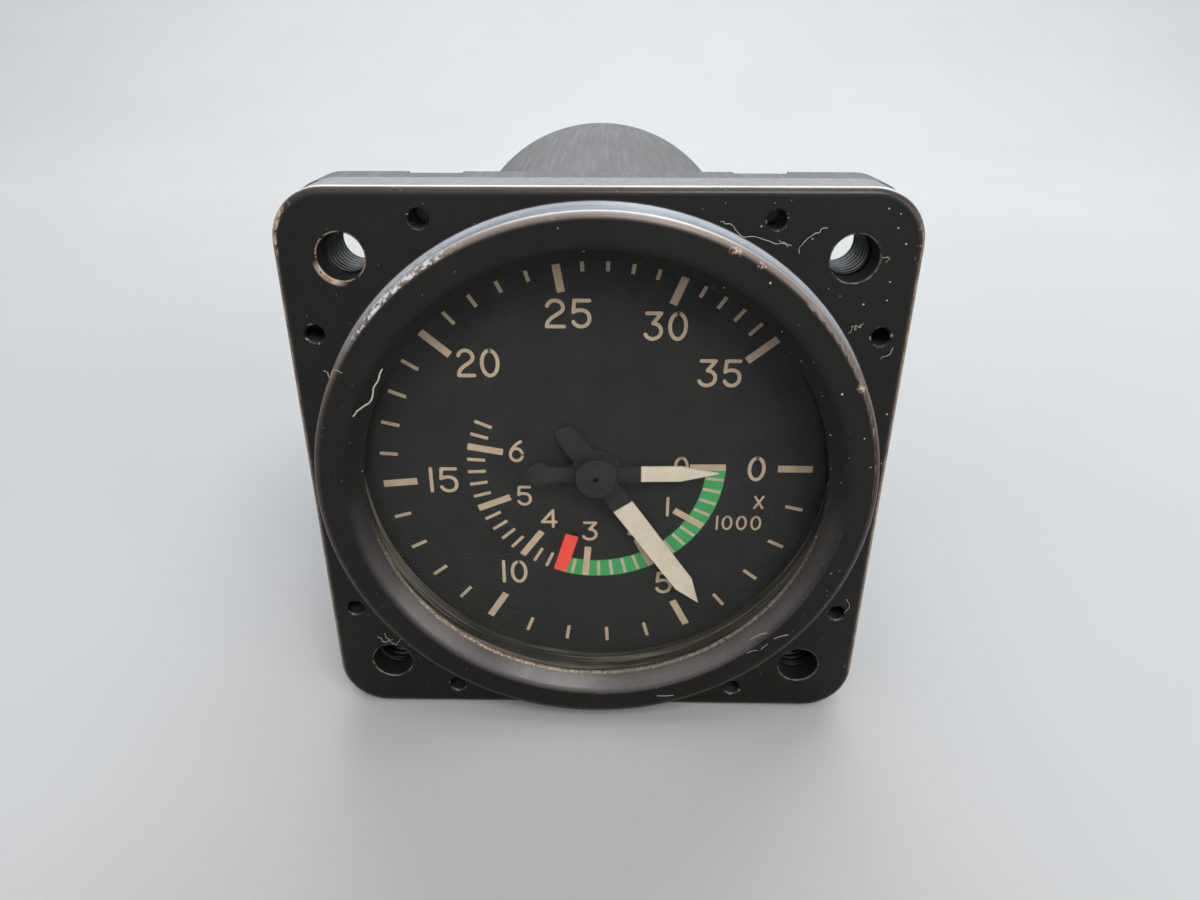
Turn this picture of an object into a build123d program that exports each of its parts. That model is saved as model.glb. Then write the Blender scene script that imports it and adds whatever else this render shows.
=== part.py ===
from build123d import *
import os
from math import acos, atan2, cos, degrees, pi, radians, sin, sqrt, tan

os.makedirs("parts", exist_ok=True)

# Cabin pressure indicator of the 2 1/4 inch panel size, with two pointers on one centre.
# Millimetres. Origin at the centre of the flange's front face, front towards -Y, +Z up.
# Depths are distances behind the flange's front face, so what stands in front of it is negative.

# Bezel casting
flange_size = 60.3
flange_corner = 5.3
bezel_thickness = 5.5
bezel_edge_round = 0.8
ring_margin = 1.55
ring_height = 3.1
ring_land = 3.2
ring_wall = 1.6
ring_edge_round = 0.75
ring_foot_round = 0.5
bevel_width = 1.54
bevel_drop = 1.6
bevel_round = 0.95
lip_land = 0.25
mount_inset = 6.35
mount_hole_radius = 2.25
mount_hole_chamfer = 0.1
tapped_along = 16.3
tapped_inset = 2.85
tapped_core_radius = 0.9
tapped_major_radius = 1.1
tapped_chamfer = 0.15

# Threaded inserts in the mounting holes
insert_depth = 2.7
insert_radius = 3.0
insert_bore_radius = 2.1
insert_head_radius = 3.9
insert_head_height = 0.7
insert_sink = 2.4
insert_chamfer = 0.3

# Window stack
stack_clearance = 0.1
window_thickness = 2.0
front_gasket_thickness = 0.45
rear_gasket_thickness = 0.4
gasket_inset = 0.74
spacer_wall = 1.6
dial_depth = 4.6

# Dial
dial_hole_radius = 2.0
dial_margin = 0.4
dial_foot_radius = 1.0
dial_foot_across = 11.0
dial_foot_up = 11.0

# Case
case_flange_thickness = 5.5
case_flange_corner = 4.1
case_flange_inset = 0.2
case_step = 0.2
case_wall = 1.6
case_length = 100.0
case_end_wall = 3.0
case_end_round = 1.5
case_foot_round = 0.8
seal_offset = 0.4
seal_width = 1.2
seal_thickness = 0.8
pocket_width = 5.5
pocket_depth = 1.1
spotface_radius = 4.6
lug_radius = 2.4
lug_inset = 3.2
lug_length = 6.5
lug_angles = (30, 150, 270)

# Case screws
case_screw_radius = 1.09
case_screw_length = 6.3
case_screw_head_radius = 2.05
case_screw_head_height = 1.4
screw_clearance = 0.15

# Movement frame
plate_gap = 1.5
plate_thickness = 1.5
front_plate_clearance = 0.6
front_bay = 9.5
rear_clearance = 6.0
frame_clearance = 3.3
frame_flat = 2.1
pillar_radius = 1.5
pillar_inset = 1.73
pillar_angle = 26.0
stud_radius = 0.8
stud_length = 2.0
bore_clearance = 0.05
bore_spare = 0.3
frame_screw_head_radius = 1.5
frame_screw_head_height = 1.0
frame_screw_length = 4.5
movement_screw_length = 5.0
screw_slot_width = 0.35
screw_slot_depth = 0.4

# Capsule rail
rail_half_width = 5.0
rail_height = 3.0
rail_set_down = 0.2

# Bearings
pivot_radius = 0.4
pivot_clearance = 0.05
jewel_radius = 1.3
tube_bush_radius = 2.2
tube_bush_flange = 0.5
pivot_length = 1.3

# Gear trains
gear_module = 0.3
pinion_teeth = 10
sector_full_teeth = 100
pressure_angle = 25.0
pinion_addendum = 0.24
sector_addendum = 0.21
tooth_depth_below = 0.33
tooth_thinning = 0.045
sector_rim_width = 1.6
sector_spoke_width = 1.3
sector_spoke_turn = 4.0
sector_spare_teeth = 1.5
pinion_width = 2.0
sector_thickness = 0.8
pinion_set_back = 1.5
pinion_spacing = 3.2

# Pointers and their arbors
arbor_radius = 0.6
arbor_proud = 0.21
tube_clearance = 0.05
tube_radius = 1.0
altitude_pointer_lift = 1.26
altitude_pointer_thickness = 0.3
diff_pointer_lift = 0.5
diff_pointer_thickness = 0.25
altitude_hub_radius = 2.6
diff_hub_radius = 2.2
hub_boss_radius = 2.25
hub_boss_height = 1.2
hub_boss_round = 0.2
hub_boss_bore_radius = 0.3
altitude_tip = 20.7
altitude_shoulder = 17.65
altitude_root_half_width = 1.24
altitude_half_width = 1.12
altitude_tail = 5.2
altitude_tail_half_width = 1.2
diff_tip = 13.2
diff_shoulder = 9.1
diff_half_width = 0.88
diff_tail = 6.1
diff_tail_half_width = 0.88
diff_weight_radius = 1.37
altitude_rest = -54.76
diff_rest = 1.0
collet_radius = 1.5

# Hairsprings
spring_width = 0.14
spring_height = 0.5
spring_pitch = 0.7
spring_turns = 4
spring_gap = 0.2
spring_stud_radius = 0.45
spring_stud_clearance = 0.05
collet_margin = 0.15

# Rocking shafts and levers
shaft_across = 6.0
shaft_radius = 0.9
shaft_shoulder = 0.3
shaft_pass_clearance = 0.7
hub_radius = 2.0
lever_arm = 6.0
lever_thickness = 0.7
lever_half_width = 0.9
link_pin_radius = 0.4
link_clearance = 0.05
open_pivot_clearance = 0.3
link_gap = 0.12
link_thickness = 0.6
link_half_width = 0.55
link_eye_radius = 1.15
pin_head_radius = 0.75
pin_head_height = 0.3

# Pointer travel from rest, in degrees clockwise as the reader sees it
altitude_travel = (-59.76, 271.44)
diff_travel = (-3.0, 210.0)

# Capsules
capsule_gap = 2.0
capsule_cells = 2
capsule_cell_height = 4.2
capsule_cell_gap = 0.8
capsule_skin = 0.35
capsule_wave = 0.55
capsule_seam = 0.35
capsule_seam_shares = (0.93, 0.95)
capsule_crests = (0.28, 0.46, 0.64, 0.82)
capsule_boss_radius = 2.6
capsule_boss_height = 1.2
capsule_rim_height = 0.6
capsule_stud_radius = 1.5
capsule_stud_length = 4.3
nut_radius = 2.8
nut_height = 1.2
post_radius = 1.5
post_collar_height = 0.8
post_half_width = 1.0
post_length = 3.2
post_pin_drop = 2.2

# Rear ports
port_height = 12.0
port_bore_radius = 4.3
port_body_radius = 5.6
port_body_clearance = 0.05
port_hex_radius = 8.0
port_hex_height = 6.0
port_inner_length = 2.5
port_thread_depth = 8.5
tube_radius_outer = 0.8
tube_bore_radius = 0.5
tube_bend = 1.6
tube_clearance_above = 2.2
tube_insertion = 1.5
tube_run_behind_plate = 3.6
vent_body_radius = 4.0
vent_hex_radius = 6.0
vent_hex_height = 3.0
vent_bore_radius = 2.5
screen_thickness = 0.4
screen_margin = 0.5

# Derived places
flange_half = flange_size / 2
mount_half = flange_half - mount_inset
tapped_far = flange_half - tapped_inset
ring_radius = flange_half - ring_margin
bevel_radius = ring_radius - ring_land
lip_radius = bevel_radius - bevel_width
window_bore_radius = ring_radius - ring_wall
gasket_inner_radius = lip_radius + gasket_inset
spacer_inner_radius = window_bore_radius - spacer_wall
case_front = bezel_thickness
case_flange_size = flange_size - 2 * case_flange_inset
case_flange_rear = case_front + case_flange_thickness
case_radius = window_bore_radius + case_step
case_bore_radius = case_radius - case_wall
seal_groove_radius = case_radius + seal_offset
lug_reach = case_bore_radius - lug_inset
front_plate_radius = case_bore_radius - front_plate_clearance
frame_radius = case_bore_radius - frame_clearance
frame_top = frame_radius - frame_flat
rail_top = frame_top - rail_set_down
rail_bottom = rail_top - rail_height
top_pillar_height = (rail_top + rail_bottom) / 2
pillar_across = (frame_radius - pillar_inset) * cos(radians(pillar_angle))
pillar_down = (frame_radius - pillar_inset) * sin(radians(pillar_angle))
lip_depth = bevel_drop - ring_height
lip_underside = lip_depth + lip_land
stack_radius = window_bore_radius - stack_clearance
front_plate_depth = case_front + plate_gap
window_front = lip_underside + front_gasket_thickness
window_rear = window_front + window_thickness
spacer_front = window_rear + rear_gasket_thickness
front_plate_rear = front_plate_depth + plate_thickness
middle_plate_depth = front_plate_rear + front_bay
middle_plate_rear = middle_plate_depth + plate_thickness
static_inner = case_length - case_end_wall - port_inner_length
rear_plate_rear = static_inner - rear_clearance
rear_plate_depth = rear_plate_rear - plate_thickness
capsule_bay = (rear_plate_depth - middle_plate_rear - plate_thickness) / 2
centre_plate_depth = middle_plate_rear + capsule_bay
centre_plate_rear = centre_plate_depth + plate_thickness
capsule_radius = capsule_bay / 2 - capsule_gap
capsule_stack = capsule_cells * (capsule_cell_height + capsule_cell_gap) - capsule_cell_gap
capsule_bottom = rail_bottom - 2 * capsule_boss_height - capsule_stack
altitude_lever_depth = (middle_plate_rear + centre_plate_depth) / 2
diff_lever_depth = (centre_plate_rear + rear_plate_depth) / 2
pinion_pitch_radius = gear_module * pinion_teeth / 2
sector_pitch_radius = gear_module * sector_full_teeth / 2
gear_distance = pinion_pitch_radius + sector_pitch_radius
shaft_down = sqrt(gear_distance**2 - shaft_across**2)
gear_ratio = sector_full_teeth / pinion_teeth
tooth_step = 360 / sector_full_teeth
altitude_pinion_depth = front_plate_rear + pinion_set_back
diff_pinion_depth = altitude_pinion_depth + pinion_spacing
altitude_pointer_depth = dial_depth - altitude_pointer_lift
diff_pointer_depth = altitude_pointer_depth - diff_pointer_lift
spotface_depth = insert_head_height + insert_sink
case_screw_seat = case_flange_rear - pocket_depth
stud_hole = stud_radius + bore_clearance
tapped_places = [
    (sign_x * x, sign_z * z)
    for x, z in ((tapped_along, tapped_far), (tapped_far, tapped_along))
    for sign_x in (-1, 1)
    for sign_z in (-1, 1)
]
mount_places = [(x, z) for x in (-mount_half, mount_half) for z in (-mount_half, mount_half)]
side_pillars = [(-pillar_across, -pillar_down), (pillar_across, -pillar_down)]
frame_places = side_pillars + [(0, top_pillar_height)]
altitude_shaft_place = (shaft_across, -shaft_down)
diff_shaft_place = (-shaft_across, -shaft_down)
lug_places = [(lug_reach * cos(radians(a)), lug_reach * sin(radians(a))) for a in lug_angles]


def facing(depth):
    """Plane at a depth behind the flange face, seen from the front: local x is X, local y is Z."""
    return Plane(origin=(0, depth, 0), x_dir=(1, 0, 0), z_dir=(0, -1, 0))


def disc(radius, front, rear, places=((0, 0),), mode=Mode.ADD):
    """Round bar or hole from one depth to another, at each of the places across the front."""
    with BuildSketch(facing(front)) as section:
        with Locations(*places):
            Circle(radius)
    extrude(section.sketch, amount=front - rear, mode=mode)


def slotted_screw(head_radius, head_height, shank_radius, seat, reach, way, place):
    """Cheese head screw. way is 1 where the shank points to the rear, -1 where it points forward."""
    disc(head_radius, seat - way * head_height, seat, [place])
    disc(shank_radius, seat, seat + way * reach, [place])
    with BuildSketch(facing(seat - way * head_height)) as slot:
        with Locations(place):
            Rectangle(2 * head_radius, screw_slot_width)
    extrude(slot.sketch, amount=-way * screw_slot_depth, mode=Mode.SUBTRACT)


# Levers: each is level at the middle of its travel, so the capsule above it pulls nearly straight
def lever_end(shaft_place, angle):
    """Centre of the link pin at the end of a lever."""
    return (
        shaft_place[0] + lever_arm * cos(radians(angle)),
        shaft_place[1] + lever_arm * sin(radians(angle)),
    )


altitude_lever_angle = 180 - sum(altitude_travel) / 2 / gear_ratio
diff_lever_angle = -sum(diff_travel) / 2 / gear_ratio
altitude_pin_place = lever_end(altitude_shaft_place, altitude_lever_angle)
diff_pin_place = lever_end(diff_shaft_place, diff_lever_angle)
altitude_capsule_place = (altitude_pin_place[0], altitude_lever_depth)
diff_capsule_place = (diff_pin_place[0], diff_lever_depth)


# Bezel: square flange with a raised ring, a bevel down to the lip, and the bore for the window
with BuildPart() as bezel:
    with BuildSketch(facing(0)):
        RectangleRounded(flange_size, flange_size, flange_corner)
    extrude(amount=-bezel_thickness)
    fillet(bezel.faces().sort_by(Axis.Y)[0].edges(), bezel_edge_round)
    disc(ring_radius, -ring_height, 0)
    foot = bezel.edges().filter_by(GeomType.CIRCLE).filter_by(lambda e: abs(e.radius - ring_radius) < 1e-3)
    fillet(foot.sort_by(Axis.Y)[0], ring_edge_round)
    fillet(foot.sort_by(Axis.Y)[-1], ring_foot_round)
    with BuildSketch(Plane.XY):
        with BuildLine():
            Polyline(
                (0, -ring_height),
                (bevel_radius, -ring_height),
                (lip_radius, lip_depth),
                (lip_radius, lip_underside),
                (window_bore_radius, lip_underside),
                (window_bore_radius, bezel_thickness),
                (0, bezel_thickness),
                close=True,
            )
        make_face()
    revolve(axis=Axis.Y, mode=Mode.SUBTRACT)
    rounds = bezel.edges().filter_by(GeomType.CIRCLE)
    bevel_top = rounds.filter_by(lambda e: abs(e.radius - bevel_radius) < 1e-3).sort_by(Axis.Y)[0]
    fillet(bevel_top, bevel_round)
    disc(mount_hole_radius, 0, bezel_thickness, mount_places, Mode.SUBTRACT)
    disc(insert_radius, insert_depth, bezel_thickness, mount_places, Mode.SUBTRACT)
    disc(tapped_core_radius, 0, bezel_thickness, tapped_places, Mode.SUBTRACT)
    tapped_end = case_screw_seat - case_screw_length - bore_spare
    disc(tapped_major_radius, tapped_end, bezel_thickness, tapped_places, Mode.SUBTRACT)
    front_rims = bezel.edges().filter_by(GeomType.CIRCLE).filter_by(lambda e: abs(e.center().Y) < 1e-3)
    chamfer(front_rims.filter_by(lambda e: abs(e.radius - mount_hole_radius) < 1e-3), mount_hole_chamfer)
    chamfer(front_rims.filter_by(lambda e: abs(e.radius - tapped_core_radius) < 1e-3), tapped_chamfer)
bezel.part.label = "bezel"
export_step(bezel.part, "parts/bezel.step")

# Window stack: gasket, window, gasket, spacer ring
with BuildPart() as front_gasket:
    disc(stack_radius, lip_underside, window_front)
    disc(gasket_inner_radius, lip_underside, window_front, mode=Mode.SUBTRACT)
front_gasket.part.label = "front_gasket"
export_step(front_gasket.part, "parts/front_gasket.step")

with BuildPart() as window_glass:
    disc(stack_radius, window_front, window_rear)
window_glass.part.label = "window_glass"
export_step(window_glass.part, "parts/window_glass.step")

with BuildPart() as rear_gasket:
    disc(stack_radius, window_rear, spacer_front)
    disc(spacer_inner_radius, window_rear, spacer_front, mode=Mode.SUBTRACT)
rear_gasket.part.label = "rear_gasket"
export_step(rear_gasket.part, "parts/rear_gasket.step")

with BuildPart() as spacer_ring:
    disc(stack_radius, spacer_front, dial_depth)
    disc(spacer_inner_radius, spacer_front, dial_depth, mode=Mode.SUBTRACT)
spacer_ring.part.label = "spacer_ring"
export_step(spacer_ring.part, "parts/spacer_ring.step")

# Dial plate: clamped between spacer and case, with two feet in the front plate
dial_foot_places = [(-dial_foot_across, dial_foot_up), (dial_foot_across, dial_foot_up)]
with BuildPart() as dial_plate:
    disc(window_bore_radius - dial_margin, dial_depth, case_front)
    disc(dial_foot_radius, case_front, front_plate_rear, dial_foot_places)
    disc(dial_hole_radius, dial_depth, case_front, mode=Mode.SUBTRACT)
dial_plate.part.label = "dial_plate"
export_step(dial_plate.part, "parts/dial_plate.step")

# Case: round cup with a square flange, inner lugs for the movement and two ports in its end wall
port_places = {"static": (0, port_height), "vent": (0, -port_height)}
with BuildPart() as case:
    with BuildSketch(facing(case_front)):
        RectangleRounded(case_flange_size, case_flange_size, case_flange_corner)
    extrude(amount=-case_flange_thickness)
    disc(case_radius, case_flange_rear, case_length)
    rims = case.edges().filter_by(GeomType.CIRCLE).filter_by(lambda e: abs(e.radius - case_radius) < 1e-3)
    fillet(rims.sort_by(Axis.Y)[-1], case_end_round)
    fillet(rims.sort_by(Axis.Y)[0], case_foot_round)
    disc(case_bore_radius, case_front, case_length - case_end_wall, mode=Mode.SUBTRACT)
    for angle in lug_angles:
        with BuildSketch(facing(front_plate_rear)) as lug:
            with PolarLocations(lug_reach, 1, start_angle=angle):
                Circle(lug_radius)
            with PolarLocations((lug_reach + case_bore_radius + case_wall / 2) / 2, 1, start_angle=angle):
                Rectangle(case_bore_radius + case_wall / 2 - lug_reach, 2 * lug_radius)
        extrude(lug.sketch, amount=-lug_length)
    lug_bore_end = front_plate_depth + movement_screw_length + bore_spare
    disc(stud_hole, front_plate_rear, lug_bore_end, lug_places, Mode.SUBTRACT)
    disc(seal_groove_radius + seal_width, case_front, case_front + seal_thickness, mode=Mode.SUBTRACT)
    with BuildSketch(facing(case_front)) as groove_core:
        Circle(seal_groove_radius)
        Circle(case_bore_radius, mode=Mode.SUBTRACT)
    extrude(groove_core.sketch, amount=-seal_thickness)
    disc(insert_radius, case_front, case_flange_rear, mount_places, Mode.SUBTRACT)
    disc(spotface_radius, case_flange_rear - spotface_depth, case_flange_rear, mount_places, Mode.SUBTRACT)
    disc(case_screw_radius + screw_clearance, case_front, case_flange_rear, tapped_places, Mode.SUBTRACT)
    with BuildSketch(facing(case_screw_seat)) as pockets:
        for x, z in tapped_places:
            with Locations((x, z)):
                Circle(pocket_width / 2)
        for side in (-1, 1):
            for along in (-tapped_along, tapped_along):
                with Locations((along, side * (tapped_far + flange_half) / 2)):
                    Rectangle(pocket_width, flange_half - tapped_far)
                with Locations((side * (tapped_far + flange_half) / 2, along)):
                    Rectangle(flange_half - tapped_far, pocket_width)
    extrude(pockets.sketch, amount=-pocket_depth, mode=Mode.SUBTRACT)
    static_bore = port_body_radius + port_body_clearance
    vent_bore = vent_body_radius + port_body_clearance
    disc(static_bore, case_length - case_end_wall, case_length, [port_places["static"]], Mode.SUBTRACT)
    disc(vent_bore, case_length - case_end_wall, case_length, [port_places["vent"]], Mode.SUBTRACT)
case.part.label = "case"
export_step(case.part, "parts/case.step")

with BuildPart() as case_seal:
    disc(seal_groove_radius + seal_width, case_front, case_front + seal_thickness)
    disc(seal_groove_radius, case_front, case_front + seal_thickness, mode=Mode.SUBTRACT)
case_seal.part.label = "case_seal"
export_step(case_seal.part, "parts/case_seal.step")

# Case screws: eight, from behind, through the case flange into the bezel
with BuildPart() as case_screws:
    for place in tapped_places:
        slotted_screw(
            case_screw_head_radius,
            case_screw_head_height,
            case_screw_radius,
            case_screw_seat,
            case_screw_length,
            -1,
            place,
        )
case_screws.part.label = "case_screws"
export_step(case_screws.part, "parts/case_screws.step")

# Threaded inserts: flanged bushes pressed in from behind through both plates
insert_seat = case_flange_rear - spotface_depth
with BuildPart() as mount_inserts:
    disc(insert_radius, insert_depth, insert_seat, mount_places)
    disc(insert_head_radius, insert_seat, insert_seat + insert_head_height, mount_places)
    disc(insert_bore_radius, insert_depth, insert_seat + insert_head_height, mount_places, Mode.SUBTRACT)
    insert_rims = mount_inserts.edges().filter_by(GeomType.CIRCLE)
    insert_mouths = insert_rims.filter_by(lambda e: abs(e.radius - insert_bore_radius) < 1e-3)
    chamfer(insert_mouths.filter_by(lambda e: e.center().Y < insert_depth + 1e-3), insert_chamfer)
mount_inserts.part.label = "mount_inserts"
export_step(mount_inserts.part, "parts/mount_inserts.step")

# Movement plates
shaft_pass = shaft_radius + shaft_pass_clearance
shaft_places = [altitude_shaft_place, diff_shaft_place]
with BuildPart() as front_plate:
    disc(front_plate_radius, front_plate_depth, front_plate_rear)
    disc(tube_bush_radius, front_plate_depth, front_plate_rear, mode=Mode.SUBTRACT)
    front_holes = [(jewel_radius, shaft_places), (stud_hole, frame_places + lug_places)]
    front_holes += [(dial_foot_radius + bore_clearance, dial_foot_places)]
    for radius, places in front_holes:
        disc(radius, front_plate_depth, front_plate_rear, places, Mode.SUBTRACT)
front_plate.part.label = "front_plate"
export_step(front_plate.part, "parts/front_plate.step")


def movement_plate(front, round_holes, notch):
    """Plate of the movement frame with a flat top, and a notch for the rail where it passes."""
    with BuildSketch(facing(front)) as outline:
        Circle(frame_radius)
        with Locations((0, frame_top + frame_radius / 2)):
            Rectangle(2 * frame_radius, frame_radius, mode=Mode.SUBTRACT)
        if notch:
            with Locations((0, rail_bottom + frame_radius / 2)):
                Rectangle(2 * rail_half_width, frame_radius, mode=Mode.SUBTRACT)
        for radius, place in round_holes:
            with Locations(place):
                Circle(radius, mode=Mode.SUBTRACT)
    extrude(outline.sketch, amount=-plate_thickness)


side_holes = [(stud_hole, place) for place in side_pillars]
top_hole = (stud_hole, (0, top_pillar_height))
with BuildPart() as middle_plate:
    middle_holes = side_holes + [top_hole, (jewel_radius, (0, 0))]
    middle_holes += [(shaft_pass, altitude_shaft_place), (shaft_pass, diff_shaft_place)]
    movement_plate(middle_plate_depth, middle_holes, False)
middle_plate.part.label = "middle_plate"
export_step(middle_plate.part, "parts/middle_plate.step")

with BuildPart() as centre_plate:
    centre_holes = side_holes + [(jewel_radius, altitude_shaft_place), (shaft_pass, diff_shaft_place)]
    movement_plate(centre_plate_depth, centre_holes, True)
centre_plate.part.label = "centre_plate"
export_step(centre_plate.part, "parts/centre_plate.step")

with BuildPart() as rear_plate:
    movement_plate(rear_plate_depth, side_holes + [top_hole, (jewel_radius, diff_shaft_place)], False)
rear_plate.part.label = "rear_plate"
export_step(rear_plate.part, "parts/rear_plate.step")


def pillar(front, rear, place, front_stud, rear_stud):
    """Round pillar between two plates, with a stud through the next plate or a bore at each end."""
    disc(pillar_radius, front, rear, [place])
    end_bore = max(stud_length, frame_screw_length - plate_thickness) + bore_spare
    if front_stud:
        disc(stud_radius, front - plate_thickness - stud_length, front, [place])
    else:
        disc(stud_hole, front, front + end_bore, [place], Mode.SUBTRACT)
    if rear_stud:
        disc(stud_radius, rear, rear + plate_thickness + stud_length, [place])
    else:
        disc(stud_hole, rear - end_bore, rear, [place], Mode.SUBTRACT)


with BuildPart() as front_pillars:
    for place in side_pillars:
        pillar(front_plate_rear, middle_plate_depth, place, False, False)
front_pillars.part.label = "front_pillars"
export_step(front_pillars.part, "parts/front_pillars.step")

with BuildPart() as top_pillar:
    pillar(front_plate_rear, middle_plate_depth, (0, top_pillar_height), False, True)
top_pillar.part.label = "top_pillar"
export_step(top_pillar.part, "parts/top_pillar.step")

with BuildPart() as middle_pillars:
    for place in side_pillars:
        pillar(middle_plate_rear, centre_plate_depth, place, True, False)
middle_pillars.part.label = "middle_pillars"
export_step(middle_pillars.part, "parts/middle_pillars.step")

with BuildPart() as rear_pillars:
    for place in side_pillars:
        pillar(centre_plate_rear, rear_plate_depth, place, True, False)
rear_pillars.part.label = "rear_pillars"
export_step(rear_pillars.part, "parts/rear_pillars.step")

# Screws of the movement frame
with BuildPart() as frame_screws:
    for place in frame_places:
        slotted_screw(
            frame_screw_head_radius,
            frame_screw_head_height,
            stud_radius,
            front_plate_depth,
            frame_screw_length,
            1,
            place,
        )
        slotted_screw(
            frame_screw_head_radius,
            frame_screw_head_height,
            stud_radius,
            rear_plate_rear,
            frame_screw_length,
            -1,
            place,
        )
frame_screws.part.label = "frame_screws"
export_step(frame_screws.part, "parts/frame_screws.step")

with BuildPart() as movement_screws:
    for place in lug_places:
        slotted_screw(
            frame_screw_head_radius,
            frame_screw_head_height,
            stud_radius,
            front_plate_depth,
            movement_screw_length,
            1,
            place,
        )
movement_screws.part.label = "movement_screws"
export_step(movement_screws.part, "parts/movement_screws.step")

# Capsule rail: bar along the top from the middle plate to the rear plate
with BuildPart() as capsule_rail:
    with BuildSketch(facing(middle_plate_rear)):
        with Locations((0, rail_bottom + rail_height / 2)):
            Rectangle(2 * rail_half_width, rail_height)
    extrude(amount=middle_plate_rear - rear_plate_depth)
    end_bore_place = [(0, top_pillar_height)]
    front_bore_end = middle_plate_rear + stud_length + bore_spare
    rear_bore_end = rear_plate_rear - frame_screw_length - bore_spare
    disc(stud_hole, middle_plate_rear, front_bore_end, end_bore_place, Mode.SUBTRACT)
    disc(stud_hole, rear_bore_end, rear_plate_depth, end_bore_place, Mode.SUBTRACT)
    with BuildSketch(Plane.XY.offset(rail_bottom)):
        with Locations(altitude_capsule_place, diff_capsule_place):
            Circle(capsule_stud_radius + bore_clearance)
    extrude(amount=rail_height, mode=Mode.SUBTRACT)
capsule_rail.part.label = "capsule_rail"
export_step(capsule_rail.part, "parts/capsule_rail.step")

# Bearings
pivot_bore = pivot_radius + pivot_clearance
jewel_seats = [
    (altitude_shaft_place, front_plate_depth),
    (diff_shaft_place, front_plate_depth),
    (altitude_shaft_place, centre_plate_depth),
    (diff_shaft_place, rear_plate_depth),
]
with BuildPart() as shaft_jewels:
    for place, front in jewel_seats:
        disc(jewel_radius, front, front + plate_thickness, [place])
        disc(pivot_bore, front, front + plate_thickness, [place], Mode.SUBTRACT)
shaft_jewels.part.label = "shaft_jewels"
export_step(shaft_jewels.part, "parts/shaft_jewels.step")

with BuildPart() as arbor_jewel:
    disc(jewel_radius, middle_plate_depth, middle_plate_rear)
    disc(pivot_bore, middle_plate_depth, middle_plate_rear, mode=Mode.SUBTRACT)
arbor_jewel.part.label = "arbor_jewel"
export_step(arbor_jewel.part, "parts/arbor_jewel.step")

with BuildPart() as tube_bush:
    disc(tube_bush_radius, front_plate_depth, front_plate_rear)
    disc(tube_bush_radius + tube_bush_flange, front_plate_depth - tube_bush_flange, front_plate_depth)
    disc(
        tube_radius + tube_clearance,
        front_plate_depth - tube_bush_flange,
        front_plate_rear,
        mode=Mode.SUBTRACT,
    )
tube_bush.part.label = "tube_bush"
export_step(tube_bush.part, "parts/tube_bush.step")


# Teeth: involute flanks from the base circle to the tip, closed by a straight root
def involute(angle):
    """Involute function of an angle in radians."""
    return tan(angle) - angle


def tooth_outline(pitch_radius, tip_radius, root_radius, centre_angle):
    """Corner points of one tooth about a gear centre, from its right root to its left root."""
    base_radius = pitch_radius * cos(radians(pressure_angle))
    half_pitch = (pi * gear_module / 4 - tooth_thinning / 2) / pitch_radius
    half_base = half_pitch + involute(radians(pressure_angle))
    start = max(base_radius, root_radius)
    radii = [start, (start + tip_radius) / 2, tip_radius]
    flank = [(radius, half_base - involute(acos(min(1, base_radius / radius)))) for radius in radii]
    right = [(root_radius, flank[0][1])] if start > root_radius else []
    right = right + flank
    left = [(radius, -turn) for radius, turn in reversed(right)]
    middle = radians(centre_angle)
    return [(radius * cos(middle - turn), radius * sin(middle - turn)) for radius, turn in right + left]


pinion_tip = pinion_pitch_radius + pinion_addendum
pinion_root = pinion_pitch_radius - tooth_depth_below
sector_tip = sector_pitch_radius + sector_addendum
sector_root = sector_pitch_radius - tooth_depth_below


def pinion(front, mesh_angle):
    """Pinion with one tooth on the line towards its sector's shaft."""
    points = []
    for tooth in range(pinion_teeth):
        turn = mesh_angle + tooth * 360 / pinion_teeth
        points += tooth_outline(pinion_pitch_radius, pinion_tip, pinion_root, turn)
    with BuildSketch(facing(front)) as section:
        with BuildLine():
            Polyline(*points, close=True)
        make_face()
    extrude(section.sketch, amount=-pinion_width)


# Each sector's shaft stands below the centre; these are the directions between the two centres
altitude_mesh = degrees(atan2(shaft_down, -shaft_across))
diff_mesh = degrees(atan2(shaft_down, shaft_across))


def sector(front, shaft_place, mesh_angle, travel):
    """Toothed sector with a hub and two spokes. travel is the pointer's, clockwise from rest."""
    spare = sector_spare_teeth * tooth_step
    first = int((-travel[1] / gear_ratio - spare) // tooth_step)
    last = int((-travel[0] / gear_ratio + spare) // tooth_step)
    angles = [mesh_angle + (tooth + 0.5) * tooth_step for tooth in range(first, last + 1)]
    rim_start = angles[0] - tooth_step / 2
    rim_end = angles[-1] + tooth_step / 2
    inner = sector_root - sector_rim_width
    points = []
    for angle in angles:
        points += tooth_outline(sector_pitch_radius, sector_tip, sector_root, angle)
    rim = [(sector_root, rim_start), (inner, rim_start), (inner, rim_end), (sector_root, rim_end)]
    ends = [(radius * cos(radians(turn)), radius * sin(radians(turn))) for radius, turn in rim]
    middle = radians((rim_start + rim_end) / 2)
    with BuildSketch(facing(front)) as section:
        with Locations(shaft_place):
            with BuildSketch(mode=Mode.PRIVATE) as blank:
                with BuildLine():
                    Polyline(*points, ends[3])
                    Line(ends[3], ends[2])
                    ThreePointArc(ends[2], (inner * cos(middle), inner * sin(middle)), ends[1])
                    Line(ends[1], ends[0])
                    Line(ends[0], points[0])
                make_face()
            add(blank.sketch)
            Circle(hub_radius)
        for turn in (rim_start, rim_end):
            inward = sector_spoke_turn if turn == rim_start else -sector_spoke_turn
            spoke_length = inner + sector_rim_width / 2
            with Locations(shaft_place):
                with PolarLocations(spoke_length / 2, 1, start_angle=turn + inward):
                    Rectangle(spoke_length, sector_spoke_width)
        with Locations(shaft_place):
            Circle(shaft_radius, mode=Mode.SUBTRACT)
    extrude(section.sketch, amount=-sector_thickness)


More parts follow.
